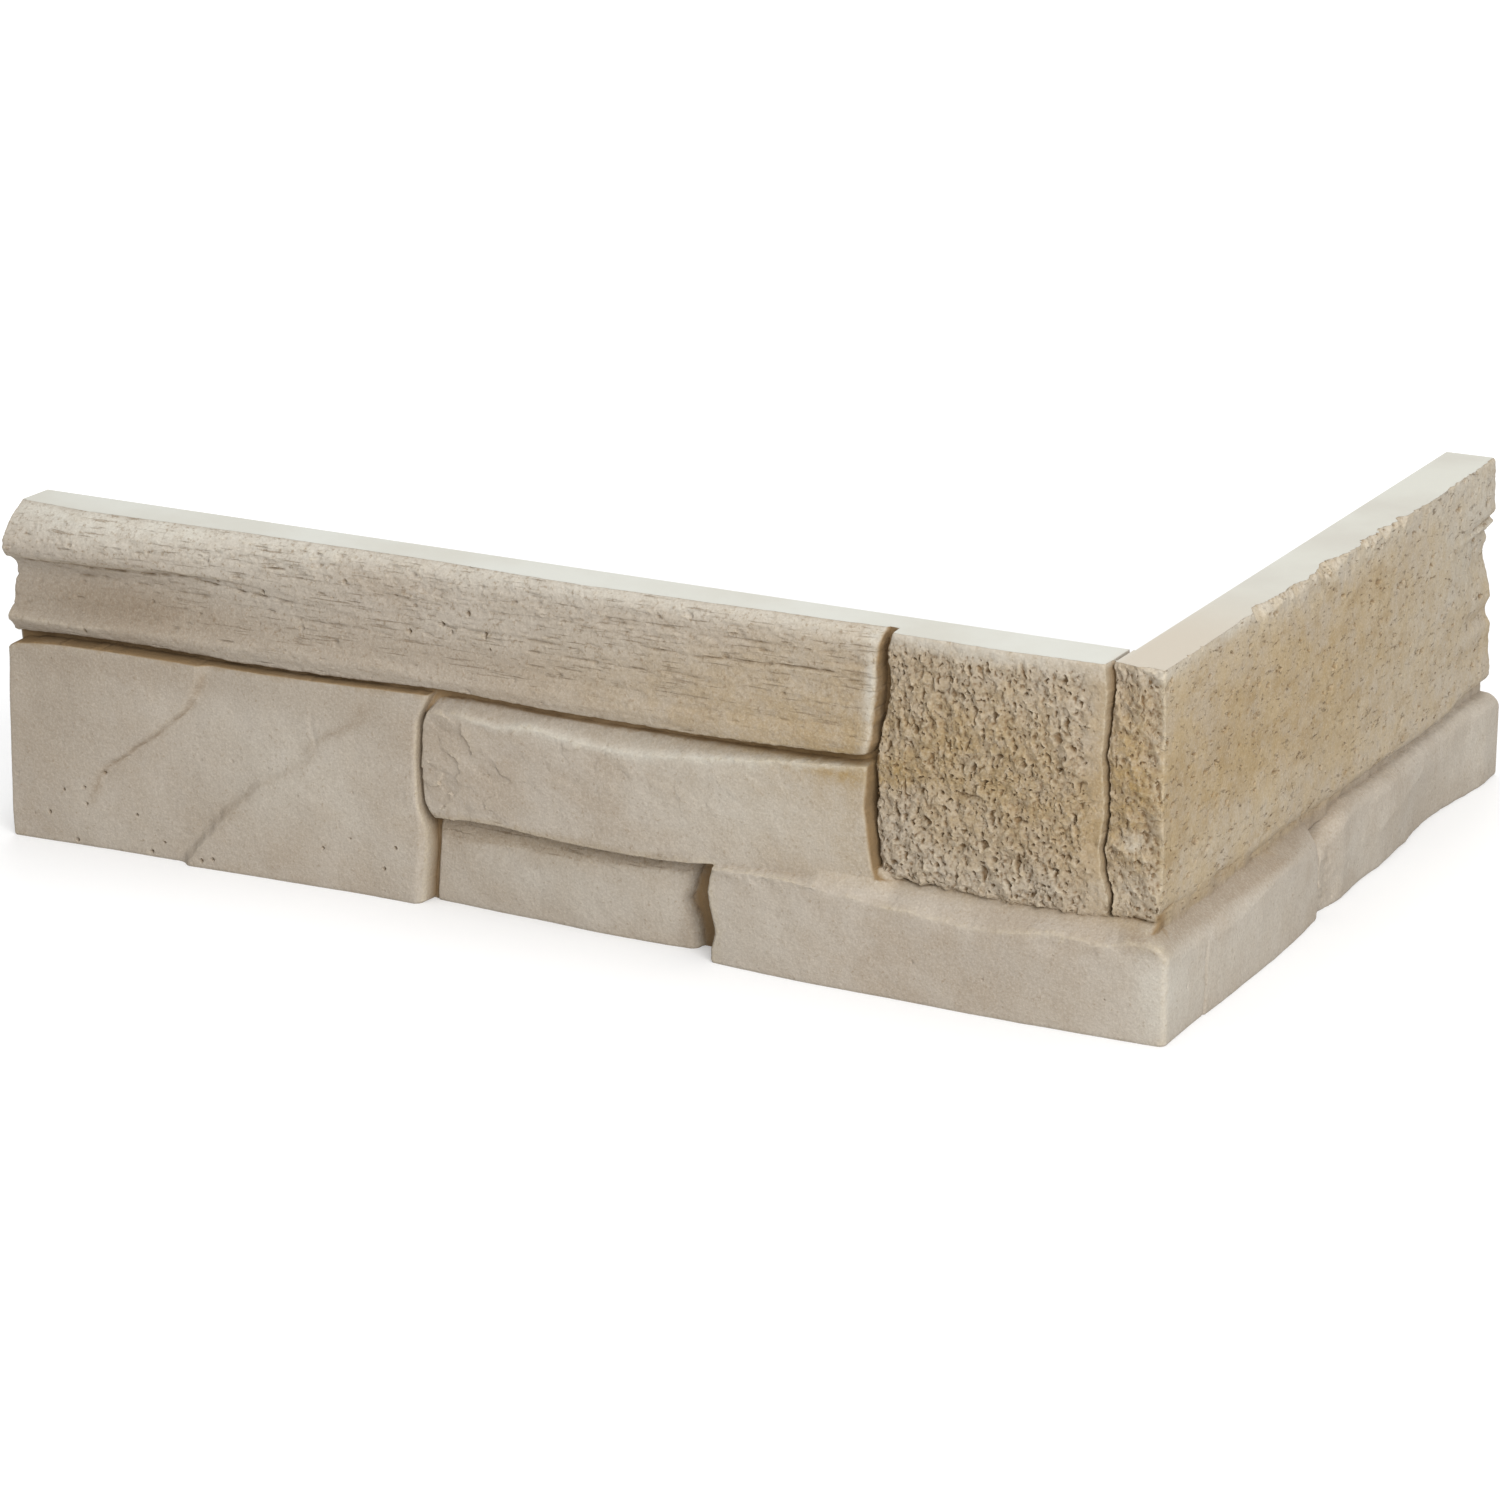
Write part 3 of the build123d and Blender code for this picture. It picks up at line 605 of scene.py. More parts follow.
def top_corner_side(y, z):
    """The long travertine-like face of the top corner stone, chipped along its top edge."""
    depth = smooth_line(TOP_CORNER_FACE, y)
    depth -= smooth_line([(28, 0.0), (60, 0.3), (92, 0.9), (100, 1.1)], z)
    depth += 0.45 * layered(y, z, 28, 201, 3, stretch=1.4)
    at_end = ramp(y, 196, 236)
    depth += at_end * (smooth_line(END_PROFILE, z + 0.6 * noise(y / 6, z / 6, 203)) - depth)
    rugged = 0.2 + 0.8 * np.maximum(ramp(z, 86, 96) * ramp(y, 30, 70), 0.8 * at_end)
    depth += 0.22 * rugged * layered(y, z, 5, 205, 4, gain=0.7)
    ya, za = y + 1.1 * noise(y / 1.2, z / 1.2, 211), z + 0.7 * noise(y / 1.3, z / 1.3, 212)
    depth -= pits(ya, za, 3.4, 213, 0.35, 0.3, 0.8, stretch=2.0)
    depth -= 1.3 * pits(ya, za, 7.5, 215, 0.5, 0.4, 1.1, stretch=2.4)
    depth += 0.12 * (flakes(ya, za, 5.0, 217, stretch=2.2, tilt=1.4) + 0.3)
    # Slanting chips along the top edge, few near the corner and at the end, many between
    chip = 0.75 + 0.8 * layered(y, 0.3 * z, 19, 221, 5, gain=0.6)
    chip -= 0.25 * shards(y, z * 0.3, 5, 222, tilt=1.4)
    chipped = 0.4 + 3.2 * ramp(y, 22, 60) * (1 - 0.8 * ramp(y, 150, 185))
    start = 100.3 - chipped * np.clip(chip - 0.4, 0, 1.2)
    depth -= 0.75 * np.clip(z - start, 0, 6)
    top = COURSE + 0.8 - z - 0.4 * layered(y, z, 2.2, 225, 2)
    bottom = z - smooth_line(TOP_CORNER_BOTTOM, y) + 0.25 * layered(y, z, 5, 227, 2)
    far = SHORT_LEG + 1.2 - y - 0.8 * np.maximum(layered(y, z, 8, 229, 3), -0.2)
    corner = np.maximum(y + 16.5 + 0.6 * layered(y, z, 5, 230, 3), 0.1)
    return rounded(depth, (top, 1.0, 0.7), (bottom, 4.6, 4.4), (far, 1.8, 1.2), (corner, 2.0, 0.8))


# Each stone with the box of its face: start and end along the leg, lower and upper height
LONG_FACE = [
    (long_top_stone, -349, -60, 60, 101),
    (big_smooth_stone, -349, -198, -1, 65),
    (middle_smooth_stone, -214, -60, 20, 67),
    (recessed_stone, -214, -112, -1, 29),
    (square_stone, -72, 5, 27, 101),
    (top_corner_front, -5, 31, 27, 101),
    (corner_front, -120, 31, -1, 35),
]
SHORT_FACE = [
    (corner_side, -31, 98, -1, 33),
    (end_stone, 86, 240, -1, 31),
    (top_corner_side, -31, 240, 22, 101),
]


def front_bed(x, z):
    """How far the floor of the long face's joints rises to the bed depth, from 0 to 1."""
    under_top = ramp(z, 54, 57) * ramp(z, 69, 66) * (0.62 + 0.38 * ramp(x, -200, -208))
    under_top *= ramp(x, -68, -72)
    beside_recess = 0.3 * ramp(z, 27, 24) * ramp(x, -203, -204) * ramp(x, -213, -212)
    return under_top + beside_recess


def side_bed(y, z):
    """The same for the short face."""
    return 0.75 * ramp(z, 22, 25) * ramp(z, 36, 33)


def face_depth(stones, bed, a, z, seed):
    """Outward depth of a face, from its back plane, and where it is the bare floor of a joint."""
    depth = FLOOR_DEPTH + (BED_DEPTH - FLOOR_DEPTH) * bed(a, z) + 0.5 * noise(a / 6, z / 6, seed)
    floor = depth.copy()
    for stone, start, end, under, over in stones:
        there = (a > start) & (a < end) & (z > under) & (z < over)
        if there.any():
            depth[there] = np.maximum(depth[there], stone(a[there], z[there]))
    return depth, depth <= floor


# The grid. Columns run up the outside and rows run round it, both closer together at the joints.

def spaced(start, end, joints):
    """Places from start to end, a fine step apart near the joints and a coarse one elsewhere."""
    places = [start]
    while places[-1] < end:
        gap = min(abs(places[-1] - joint) for joint in joints)
        places.append(places[-1] + (FINE if gap < JOINT_REACH else COARSE))
    places = np.array(places)
    return start + (places - start) * (end - start) / (places[-1] - start)


LOWER_LEVEL, UPPER_LEVEL = 29.0, 63.0  # of the rows that are bent to the two bed joints
LONG_SEED, SHORT_SEED = 231, 233  # of the floors of the joints
TOP_STEPS, BACK_STEPS, BED_STEPS = 14, 16, 9  # rows over the plain faces, with both ends
rows = spaced(0, COURSE, (LOWER_LEVEL, UPPER_LEVEL))
columns_long = spaced(-LONG_LEG, 0, (RECESS_JOINT, CORNER_JOINT, SQUARE_JOINT, SLIT_PLACE))
columns_short = spaced(0, SHORT_LEG, (END_JOINT,))
fan_angles = np.linspace(0, math.pi / 2, 74)[1:-1]


def bend_rows(z, lower, upper):
    """Heights of the rows, moved so that those on the two levels follow the actual joint lines."""
    levels = (0, LOWER_LEVEL, UPPER_LEVEL, COURSE)
    actual = (0 * z, lower, upper, 0 * z + COURSE)
    result = np.zeros(np.shape(z))
    for i in range(len(levels) - 1):
        t = (z - levels[i]) / (levels[i + 1] - levels[i])
        within = (t >= 0) & (t <= 1)
        result = np.where(within, actual[i] + (actual[i + 1] - actual[i]) * t, result)
    return result


# Heights of the two bent rows
LONG_LOWER_ROW = [
    (-348, 29.0), (-215, 29.0), (-208, 26.5), (-172, 26.4), (-125, 26.2), (-116, 28.6), (-98, 29.6),
    (-70, 31.2), (0, 30.8),
]
LONG_UPPER_ROW = [
    (-348, 60.6), (-342, 61.2), (-331, 62.0), (-290, 62.4), (-246, 62.5), (-203, 63.6),
    (-170, 62.6), (-126, 62.6), (-81, 63.6), (-66, 64.6), (-50, 63.5), (0, 63.0),
]
SHORT_LOWER_ROW = [
    (0, 30.8), (50, 29.3), (101, 28.0), (134, 27.0), (185, 26.6), (213, 27.2), (240, 27.6),
]


def long_face():
    """Places along the leg, heights, depths, bare joint floors and points of the long face."""
    x, z = np.meshgrid(columns_long, rows, indexing="ij")
    z = bend_rows(z, smooth_line(LONG_LOWER_ROW, x), smooth_line(LONG_UPPER_ROW, x))
    shift = 0.0
    uprights = (
        (BIG_STONE_RIGHT, RECESS_JOINT, 30), (SQUARE_STONE_LEFT, SQUARE_JOINT, 30),
        (RECESS_RIGHT, CORNER_JOINT, 12),
    )
    for line, place, reach in uprights:
        shift += (smooth_line(line, z) - place) * np.clip(1 - np.abs(x - place) / reach, 0, 1)
    x = np.where((x > -LONG_LEG) & (x < 0), x + shift, x)
    depth, bare = face_depth(LONG_FACE, front_bed, x, z, LONG_SEED)
    return x, z, depth, bare, np.stack([x, -depth, z], -1)


def fan_face():
    """The same for the columns round the outside corner, by the angle at which they fan out."""
    angle, z = np.meshgrid(fan_angles, rows, indexing="ij")
    z = bend_rows(z, 0 * z + CORNER_BED, 0 * z + UPPER_LEVEL)
    # Places on the two faces, by the usual depth of the stones there
    usual = np.where(z < CORNER_BED, 21.0, 14.8)
    furthest = 30
    x = np.minimum(usual * np.tan(angle), furthest)
    y = -np.minimum(usual / np.tan(angle), furthest)
    by_front, bare_front = face_depth(LONG_FACE, front_bed, x, z, LONG_SEED)
    by_side, bare_side = face_depth(SHORT_FACE, side_bed, y, z, SHORT_SEED)
    by_front, by_side = by_front / np.cos(angle), by_side / np.sin(angle)
    depth = smooth_min(by_side, by_front, np.where(z < CORNER_BED, 3.0, 2.2))
    bare = np.where(by_front < by_side, bare_front, bare_side)
    return angle, z, depth, bare, np.stack([depth * np.sin(angle), -depth * np.cos(angle), z], -1)


def short_face():
    """The same for the short face."""
    y, z = np.meshgrid(columns_short, rows, indexing="ij")
    z = bend_rows(z, smooth_line(SHORT_LOWER_ROW, y), 0 * y + UPPER_LEVEL)
    shift = smooth_line(CORNER_STONE_FAR, z) + 1.0 - END_JOINT
    y += shift * np.clip(1 - np.abs(y - END_JOINT) / 25, 0, 1)
    depth, bare = face_depth(SHORT_FACE, side_bed, y, z, SHORT_SEED)
    return y, z, depth, bare, np.stack([depth, y, z], -1)


def blurred(values, reach):
    """Mean over a soft window of that many grid steps each way."""
    window = np.hanning(2 * reach + 3)[1:-1]
    window /= window.sum()
    for axis in (0, 1):
        padding = [(reach, reach) if axis == k else (0, 0) for k in (0, 1)]
        padded = np.pad(values, padding, mode="edge")
        values = np.apply_along_axis(np.convolve, axis, padded, window, "valid")
    return values


def patches(a, z, spots):
    """Soft spots, each at a place along the leg and a height, with its half sizes and strength."""
    total = 0.0
    for place, height, wide, tall, strength in spots:
        square = ((a - place) / wide) ** 2 + ((z - height) / tall) ** 2
        total += strength * np.exp(-square)
    return total


# Patches of colour on the long and the short face
OCHRE_FRONT = [
    (-34, 62, 60, 70, 0.5), (-34, 66, 26, 24, 0.25), (-10, 54, 12, 14, 0.2), (7, 64, 10, 46, 0.45),
    (7, 72, 8, 16, 0.2), (-105, 76, 60, 16, 0.4), (-105, 68, 50, 6, 0.15), (-72, 61, 12, 4, 0.8),
    (-100, 62, 30, 3, 0.3), (-170, 23, 40, 4, 0.2),
]
OCHRE_SIDE = [
    (80, 62, 190, 46, 0.45), (15, 60, 50, 20, 0.2), (90, 62, 50, 20, 0.15), (135, 74, 40, 20, 0.15),
    (-14, 66, 14, 30, 0.2), (200, 74, 60, 34, 0.15),
]
PALE_FRONT = [
    (-330, 98, 36, 7, 0.7), (-310, 101, 60, 3.5, 0.6), (-280, 95, 40, 6, 0.4),
    (-200, 99.5, 90, 4, 0.6), (-68.5, 82, 2.0, 18, 0.8), (-105, 46, 36, 13, 0.3),
    (-34, 36, 32, 5, 0.25), (-34, 98.5, 34, 3.0, 0.5), (-150, 58, 40, 4, 0.3), (8, 52, 5, 3, 0.6),
    (-250, 30, 26, 16, 0.25), (-100, 99.5, 60, 3, 0.4), (7, 38, 7, 6, 0.3), (-165, 12, 44, 9, 0.2),
]
PALE_SIDE = [
    (35, 99.5, 30, 2, 0.6), (-12, 99, 14, 3, 0.5), (-18, 15, 10, 16, 0.4), (0, 12, 24, 13, 0.35),
    (60, 12, 60, 14, 0.2), (220, 12, 40, 12, 0.3), (130, 10, 50, 12, 0.15), (222, 84, 34, 24, 0.5),
    (180, 60, 60, 40, 0.3), (40, 42, 50, 8, 0.25), (125, 98, 90, 6, 0.45),
]
DARK_FRONT = [
    (-310, 74, 42, 8, 0.9), (-240, 72, 60, 8, 0.45), (-335, 40, 20, 24, 0.5),
    (-300, 57, 60, 6, 0.5), (-180, 75, 50, 6, 0.3), (-125, 10, 3.0, 14, 0.6),
    (-225, 52, 24, 12, 0.3), (-275, 14, 30, 12, 0.2), (-74, 62, 10, 3, 0.5),
    (-22, 14, 26, 14, 0.25),
]
# The patches at heights 27 to 28 of the short face, along the cove and groove under the top corner
# stone, are painted shade, partly a tan staining in the cove.
DARK_SIDE = [
    (-20, 28, 24, 3, 1.0), (25, 27.5, 40, 3.2, 1.2), (70, 27.5, 40, 3, 0.8),
    (5.4, 10, 0.7, 11, 0.7), (98, 14, 5, 14, 0.45), (150, 27, 70, 2, 0.5),
]


# Darker bands along the veins of the big stone: line, strength, half width and seed. The narrow one
# is the first vein's brown line; the broad ones are painted shade beside the soft steps of the
# veins, partly their brown colour.
VEIN_STAINS_AND_SHADE = [
    (FIRST_VEIN, 0.8, 0.6, 61),
    (FIRST_VEIN, 0.25, 2.5, 61),
    (SECOND_VEIN, 0.6, 2.8, 63),
]


def sunk(depth, reach):
    """How far each point lies below the mean round it."""
    return blurred(depth, reach) - depth


def past_recess_lip(x, z):
    """Whether a point is on the recessed stone, and how far it lies above that stone's lip."""
    return (x > -206) & (x < -122) & (z < 28), z - smooth_line(RECESS_LIP, x)


def top_of_stones(x):
    """Height at which the stones under the long top stone end."""
    return np.where(x < -205, smooth_line(BIG_STONE_TOP, x), smooth_line(MIDDLE_STONE_TOP, x))


def stain_shade_and_highlight_masks(x, y, z):
    """Ochre, pale and dark stains. Some dark ones are painted shade, partly dirt: on ledges and
    bevels under overhangs, in the cove under the top corner stone and beside the veins' steps. A
    pale line along the middle stone's lip is a painted highlight.
    """
    ochre = np.maximum(patches(x, z, OCHRE_FRONT), patches(y, z, OCHRE_SIDE))
    pale = np.maximum(patches(x, z, PALE_FRONT), patches(y, z, PALE_SIDE))
    dark = patches(x, z, DARK_FRONT) + patches(y, z, DARK_SIDE)
    ochre *= np.maximum(ramp(z, 27.5, 31.5), x < -130)
    # Darker bands along the veins: brown lines, and painted shade beside their steps
    for line, amount, wide, seed in VEIN_STAINS_AND_SHADE:
        off = x - smooth_line(line, z) + 0.8 * layered(x, z, 7, seed, 2)
        broken = 0.6 + 0.4 * ramp(noise(x / 4, z / 4, 62), -0.3, 0.4)
        vein_stain_and_shade = amount * broken * bell(off, wide)
        dark += vein_stain_and_shade * ramp(z, 8, 20) * ramp(z, 60, 56)
    # Painted shade on the recessed stone's ledge under the middle stone's overhang, partly dirt
    recessed, over_lip = past_recess_lip(x, z)
    dark += 0.6 * recessed * ramp(over_lip, 0.2, 0.8)
    # A painted highlight along the middle stone's lip, and on the bevel over it painted shade under
    # the long top stone's overhang, partly dirt
    over_lip = z - smooth_line(MIDDLE_STONE_LIP, x)
    on_middle = (z > 50) * (z < top_of_stones(x)) * ramp(x, -209, -200) * ramp(x, STONES_END, -80)
    pale += 0.6 * on_middle * bell(over_lip, 0.9) * ramp(x, -205, -185)
    dark += 0.5 * on_middle * ramp(over_lip, 0.8, 1.8) * ramp(x, -190, -130)
    return {"ochre": ochre, "pale": pale, "dark": dark}


def texture_masks(x, y, z, depth):
    """Streaked, crumbly and pocked stone, with the raised points of its relief, lighter partly as a
    painted highlight, and its dips.
    """
    on_long = x < STONES_END
    streak = np.maximum(ramp(z, 67, 74) * ramp(x, -320, -260), ramp(z, 84, 87))
    streak = on_long * ramp(z, 62, 66) * (0.3 + 0.7 * streak)
    recessed, over_lip = past_recess_lip(x, z)
    streak = np.maximum(streak, recessed * ramp(over_lip, -0.2, 0.6))
    crumbs = ramp(x, -67, -66) * ramp(x, 21, 15) * ramp(z, 30, 32) * ramp(z, 99, 96)
    crumbs *= np.maximum(ramp(x, -3, -10), ramp(x, -1.2, -0.2))
    pocked = ramp(y, -18, -13) * ramp(z, 28, 29.5)
    # Raised points of the relief, made paler: partly pale grains, partly a painted highlight
    pale_tips_and_highlight = ramp(-sunk(depth, 3), 0.08, 0.4) * (1 - 0.8 * ramp(y, -14, -8))
    dips = np.maximum(ramp(sunk(depth, 2), 0.02, 0.3), ramp(sunk(depth, 5), 0.25, 0.9))
    dips *= np.maximum(np.maximum(crumbs, 0.8 * pocked), 0.35 * on_long * ramp(z, 84, 87))
    return {"streak": streak, "crumbs": crumbs, "pocked": pocked, "pale_tips_and_highlight": pale_tips_and_highlight, "dips": dips}


def joint_mask(x, y, z, depth, bare):
    """Brown dirt in the joints and hollows, and on the narrow steps beside them; on the step under
    the long top stone it is partly painted shade.
    """
    hollow = np.maximum(ramp(sunk(depth, 4), 0.2, 1.5), blurred(bare.astype(float), 1))
    hollow = np.maximum(hollow, 0.4 * ramp(sunk(depth, 12), 0.8, 3.5))
    hollow *= ramp(z, COURSE - 0.3, COURSE - 1.5)
    hollow *= 1 - 0.75 * ramp(y, -12, -8) * ramp(z, 20, 23) * ramp(z, 36, 33)
    # The step under the long top stone: painted shade under its overhang, partly dirt
    step = (x < STONES_END) * ramp(z, top_of_stones(x) - 0.7, top_of_stones(x) - 0.2)
    long_bottom = smooth_line(LONG_STONE_BOTTOM, x)
    hollow = np.maximum(hollow, step * ramp(z, long_bottom + 0.5, long_bottom))
    # The upright joint beside the square stone
    stones_right = np.where(
        z > 64.5, smooth_line(LONG_STONE_RIGHT, z), smooth_line(MIDDLE_STONE_RIGHT, z)
    )
    upright = ramp(x, stones_right - 0.9, stones_right - 0.2)
    upright *= x < smooth_line(SQUARE_STONE_LEFT, z) + 0.3
    hollow = np.maximum(hollow, upright * (z > 31))
    # Less of it on the big stone's edge beside the recessed one
    inside = smooth_line(BIG_STONE_RIGHT, z) - x
    return hollow * (1 - 0.75 * (inside > -0.1) * (inside < 4) * (z < 27) * (x < -205))


def colour_masks(x, angle, y, z, depth, bare):
    """For each colour of the material, its share from 0 to 1 at the points of the face."""
    # Every column has a place on both faces, which is far off on the one that it isn't part of
    corner_reach, far_off = 15, 400
    front_x = np.concatenate([x, corner_reach * np.tan(angle), 0 * y + far_off])
    side_y = np.concatenate([0 * x - far_off, -corner_reach / np.tan(angle), y])
    return {
        **stain_shade_and_highlight_masks(front_x, side_y, z),
        **texture_masks(front_x, side_y, z, depth),
        "hollow": joint_mask(front_x, side_y, z, depth, bare),
    }


def build_grid():
    """Points and masks of all columns, each a ring up the face, over the top, down and under."""
    (x, angle, y), *parts = zip(long_face(), fan_face(), short_face())
    z, depth, bare, face = (np.concatenate(part) for part in parts)
    # The lower and upper ends of the back's columns stand straight behind those of the face
    back_foot, back_head = np.zeros((2, len(face), 3))
    for ends, row in ((back_foot, 0), (back_head, -1)):
        ends[: len(columns_long), 0] = x[:, row]
        ends[-len(columns_short):, 1] = y[:, row]
    back_head[:, 2] = COURSE

    top_shares, bed_shares = np.linspace(0, 1, TOP_STEPS)[1:-1], np.linspace(0, 1, BED_STEPS)[1:-1]
    slit = np.zeros(len(face))
    slit[: len(columns_long)] = np.abs(columns_long - SLIT_PLACE) < 0.5 * SLIT_WIDTH
    lowered = slit[:, None] * [0, 0, SLIT_DEPTH]
    top = [face[:, -1] + (back_head - face[:, -1]) * share - lowered for share in top_shares]
    back = [back_head + (back_foot - back_head) * share for share in np.linspace(0, 1, BACK_STEPS)]
    back[0] = back[0] - lowered
    bed = [back_foot + (face[:, 0] - back_foot) * share for share in bed_shares]
    rings = np.concatenate([face, np.stack(top, 1), np.stack(back, 1), np.stack(bed, 1)], axis=1)

    masks = {}
    first_top, first_back = face.shape[1], face.shape[1] + len(top_shares)
    for name, values in colour_masks(x, angle, y, z, depth, bare).items():
        whole = np.full(rings.shape[:2], 1.0 if name == "pale" else 0.0)
        whole[:, :first_top] = np.clip(values, 0, 1)
        whole[[0, -1]] = 0.0  # the sawn ends stay plain
        masks[name] = whole
    # Dirt in the hairline across the top, and a half pale back and bed
    masks["hollow"][:, first_top:first_back] = 0.9 * slit[:, None]
    masks["pale"][:, first_back:] = 0.45
    return rings, masks


def build_mesh():
    """One closed mesh of quads and two end faces, with the masks as attributes of its points."""
    rings, masks = build_grid()
    columns, around = rings.shape[:2]
    index = np.arange(columns * around).reshape(columns, around)
    following = np.roll(index, -1, axis=1)
    quads = np.stack([index[:-1], index[1:], following[1:], following[:-1]], -1).reshape(-1, 4)
    ends = [index[0][::-1].tolist(), index[-1].tolist()]
    mesh = bpy.data.meshes.new("corner_panel_relief")
    mesh.from_pydata((rings.reshape(-1, 3) * MM).tolist(), [], quads.tolist() + ends)
    for name, values in masks.items():
        layer = mesh.attributes.new(name, "FLOAT", "POINT")
        layer.data.foreach_set("value", values.ravel().astype(np.float32))
    return mesh


def apply_modifier(obj, kind, **settings):
    """Adds a modifier of that kind to the active object and applies it."""
    modifier = obj.modifiers.new(kind.lower(), kind)
    for name, value in settings.items():
        setattr(modifier, name, value)
    bpy.ops.object.modifier_apply(modifier=modifier.name)


def edge_flat_faces(mesh):
    """Shade the top, bed, back and ends flat, and part them from the relief by sharp edges."""
    bm = bmesh.new()
    bm.from_mesh(mesh)
    planes = (("z", COURSE), ("z", 0.0), ("x", 0.0), ("y", 0.0), ("x", -LONG_LEG), ("y", SHORT_LEG))

    def lies_on(face, axis, at):
        return all(abs(getattr(corner.co, axis) / MM - at) < FLATNESS for corner in face.verts)

    for face in bm.faces:
        if any(lies_on(face, axis, at) for axis, at in planes):
            face.smooth = False
            for edge in face.edges:
                edge.smooth = False
    bm.to_mesh(mesh)
    bm.free()


relief = bpy.data.objects.new("corner_panel_relief", build_mesh())
bpy.context.scene.collection.objects.link(relief)
bpy.context.view_layer.objects.active = relief
relief.select_set(True)
apply_modifier(relief, "WELD", merge_threshold=1e-6)
apply_modifier(relief, "TRIANGULATE")
kept_share = min(1.0, TRIANGLES / len(relief.data.polygons))
apply_modifier(relief, "DECIMATE", ratio=kept_share, use_collapse_triangulate=True)
relief.data.shade_smooth()
relief.data.set_sharp_from_angle(angle=math.radians(SHARP_ANGLE))
edge_flat_faces(relief.data)
apply_modifier(relief, "WEIGHTED_NORMAL", weight=100, keep_sharp=True)


# Materials

class Shader:
    """Adds nodes to a material. Inputs are set from numbers, colours or other nodes' outputs."""

    def __init__(self, name):
        self.material = bpy.data.materials.new(name)
        self.material.use_nodes = True
        self.tree = self.material.node_tree
        self.surface = self.tree.nodes["Principled BSDF"]

    def give(self, node, inputs):
        for name, value in inputs.items():
            if isinstance(value, bpy.types.NodeSocket):
                self.tree.links.new(value, node.inputs[name])
            else:
                node.inputs[name].default_value = value

    def add(self, kind, inputs, **settings):
        node = self.tree.nodes.new(kind)
        for name, value in settings.items():
            setattr(node, name, value)
        self.give(node, inputs)
        return node

    def attribute(self, name):
        return self.add("ShaderNodeAttribute", {}, attribute_name=name).outputs["Fac"]

    def maths(self, operation, a, b):
        return self.add("ShaderNodeMath", {0: a, 1: b}, operation=operation).outputs[0]

    def noise(self, place, scale, detail, roughness, stretch=(1, 1, 1)):
        moved = self.add("ShaderNodeMapping", {"Vector": place, "Scale": stretch}).outputs[0]
        inputs = {"Vector": moved, "Scale": scale, "Detail": detail, "Roughness": roughness}
        return self.add("ShaderNodeTexNoise", inputs).outputs["Fac"]

    def spread(self, value, low, high, start=0.0, end=1.0):
        """From start to end, as the value goes from low to high."""
        inputs = {"Value": value, "From Min": low, "From Max": high, "To Min": start, "To Max": end}
        return self.add("ShaderNodeMapRange", inputs, interpolation_type="SMOOTHSTEP").outputs[0]

    def mix(self, share, first, second):
        node = self.add("ShaderNodeMix", {}, data_type="RGBA")
        self.give(node, {0: share, 6: first, 7: second})
        return node.outputs[2]


def colour(red, green, blue):
    """Linear colour from the sRGB values that a picture shows, 0 to 255."""
    def linear(value):
        value /= 255
        return value / 12.92 if value <= 0.04045 else ((value + 0.055) / 1.055) ** 2.4
    return (linear(red), linear(green), linear(blue), 1.0)


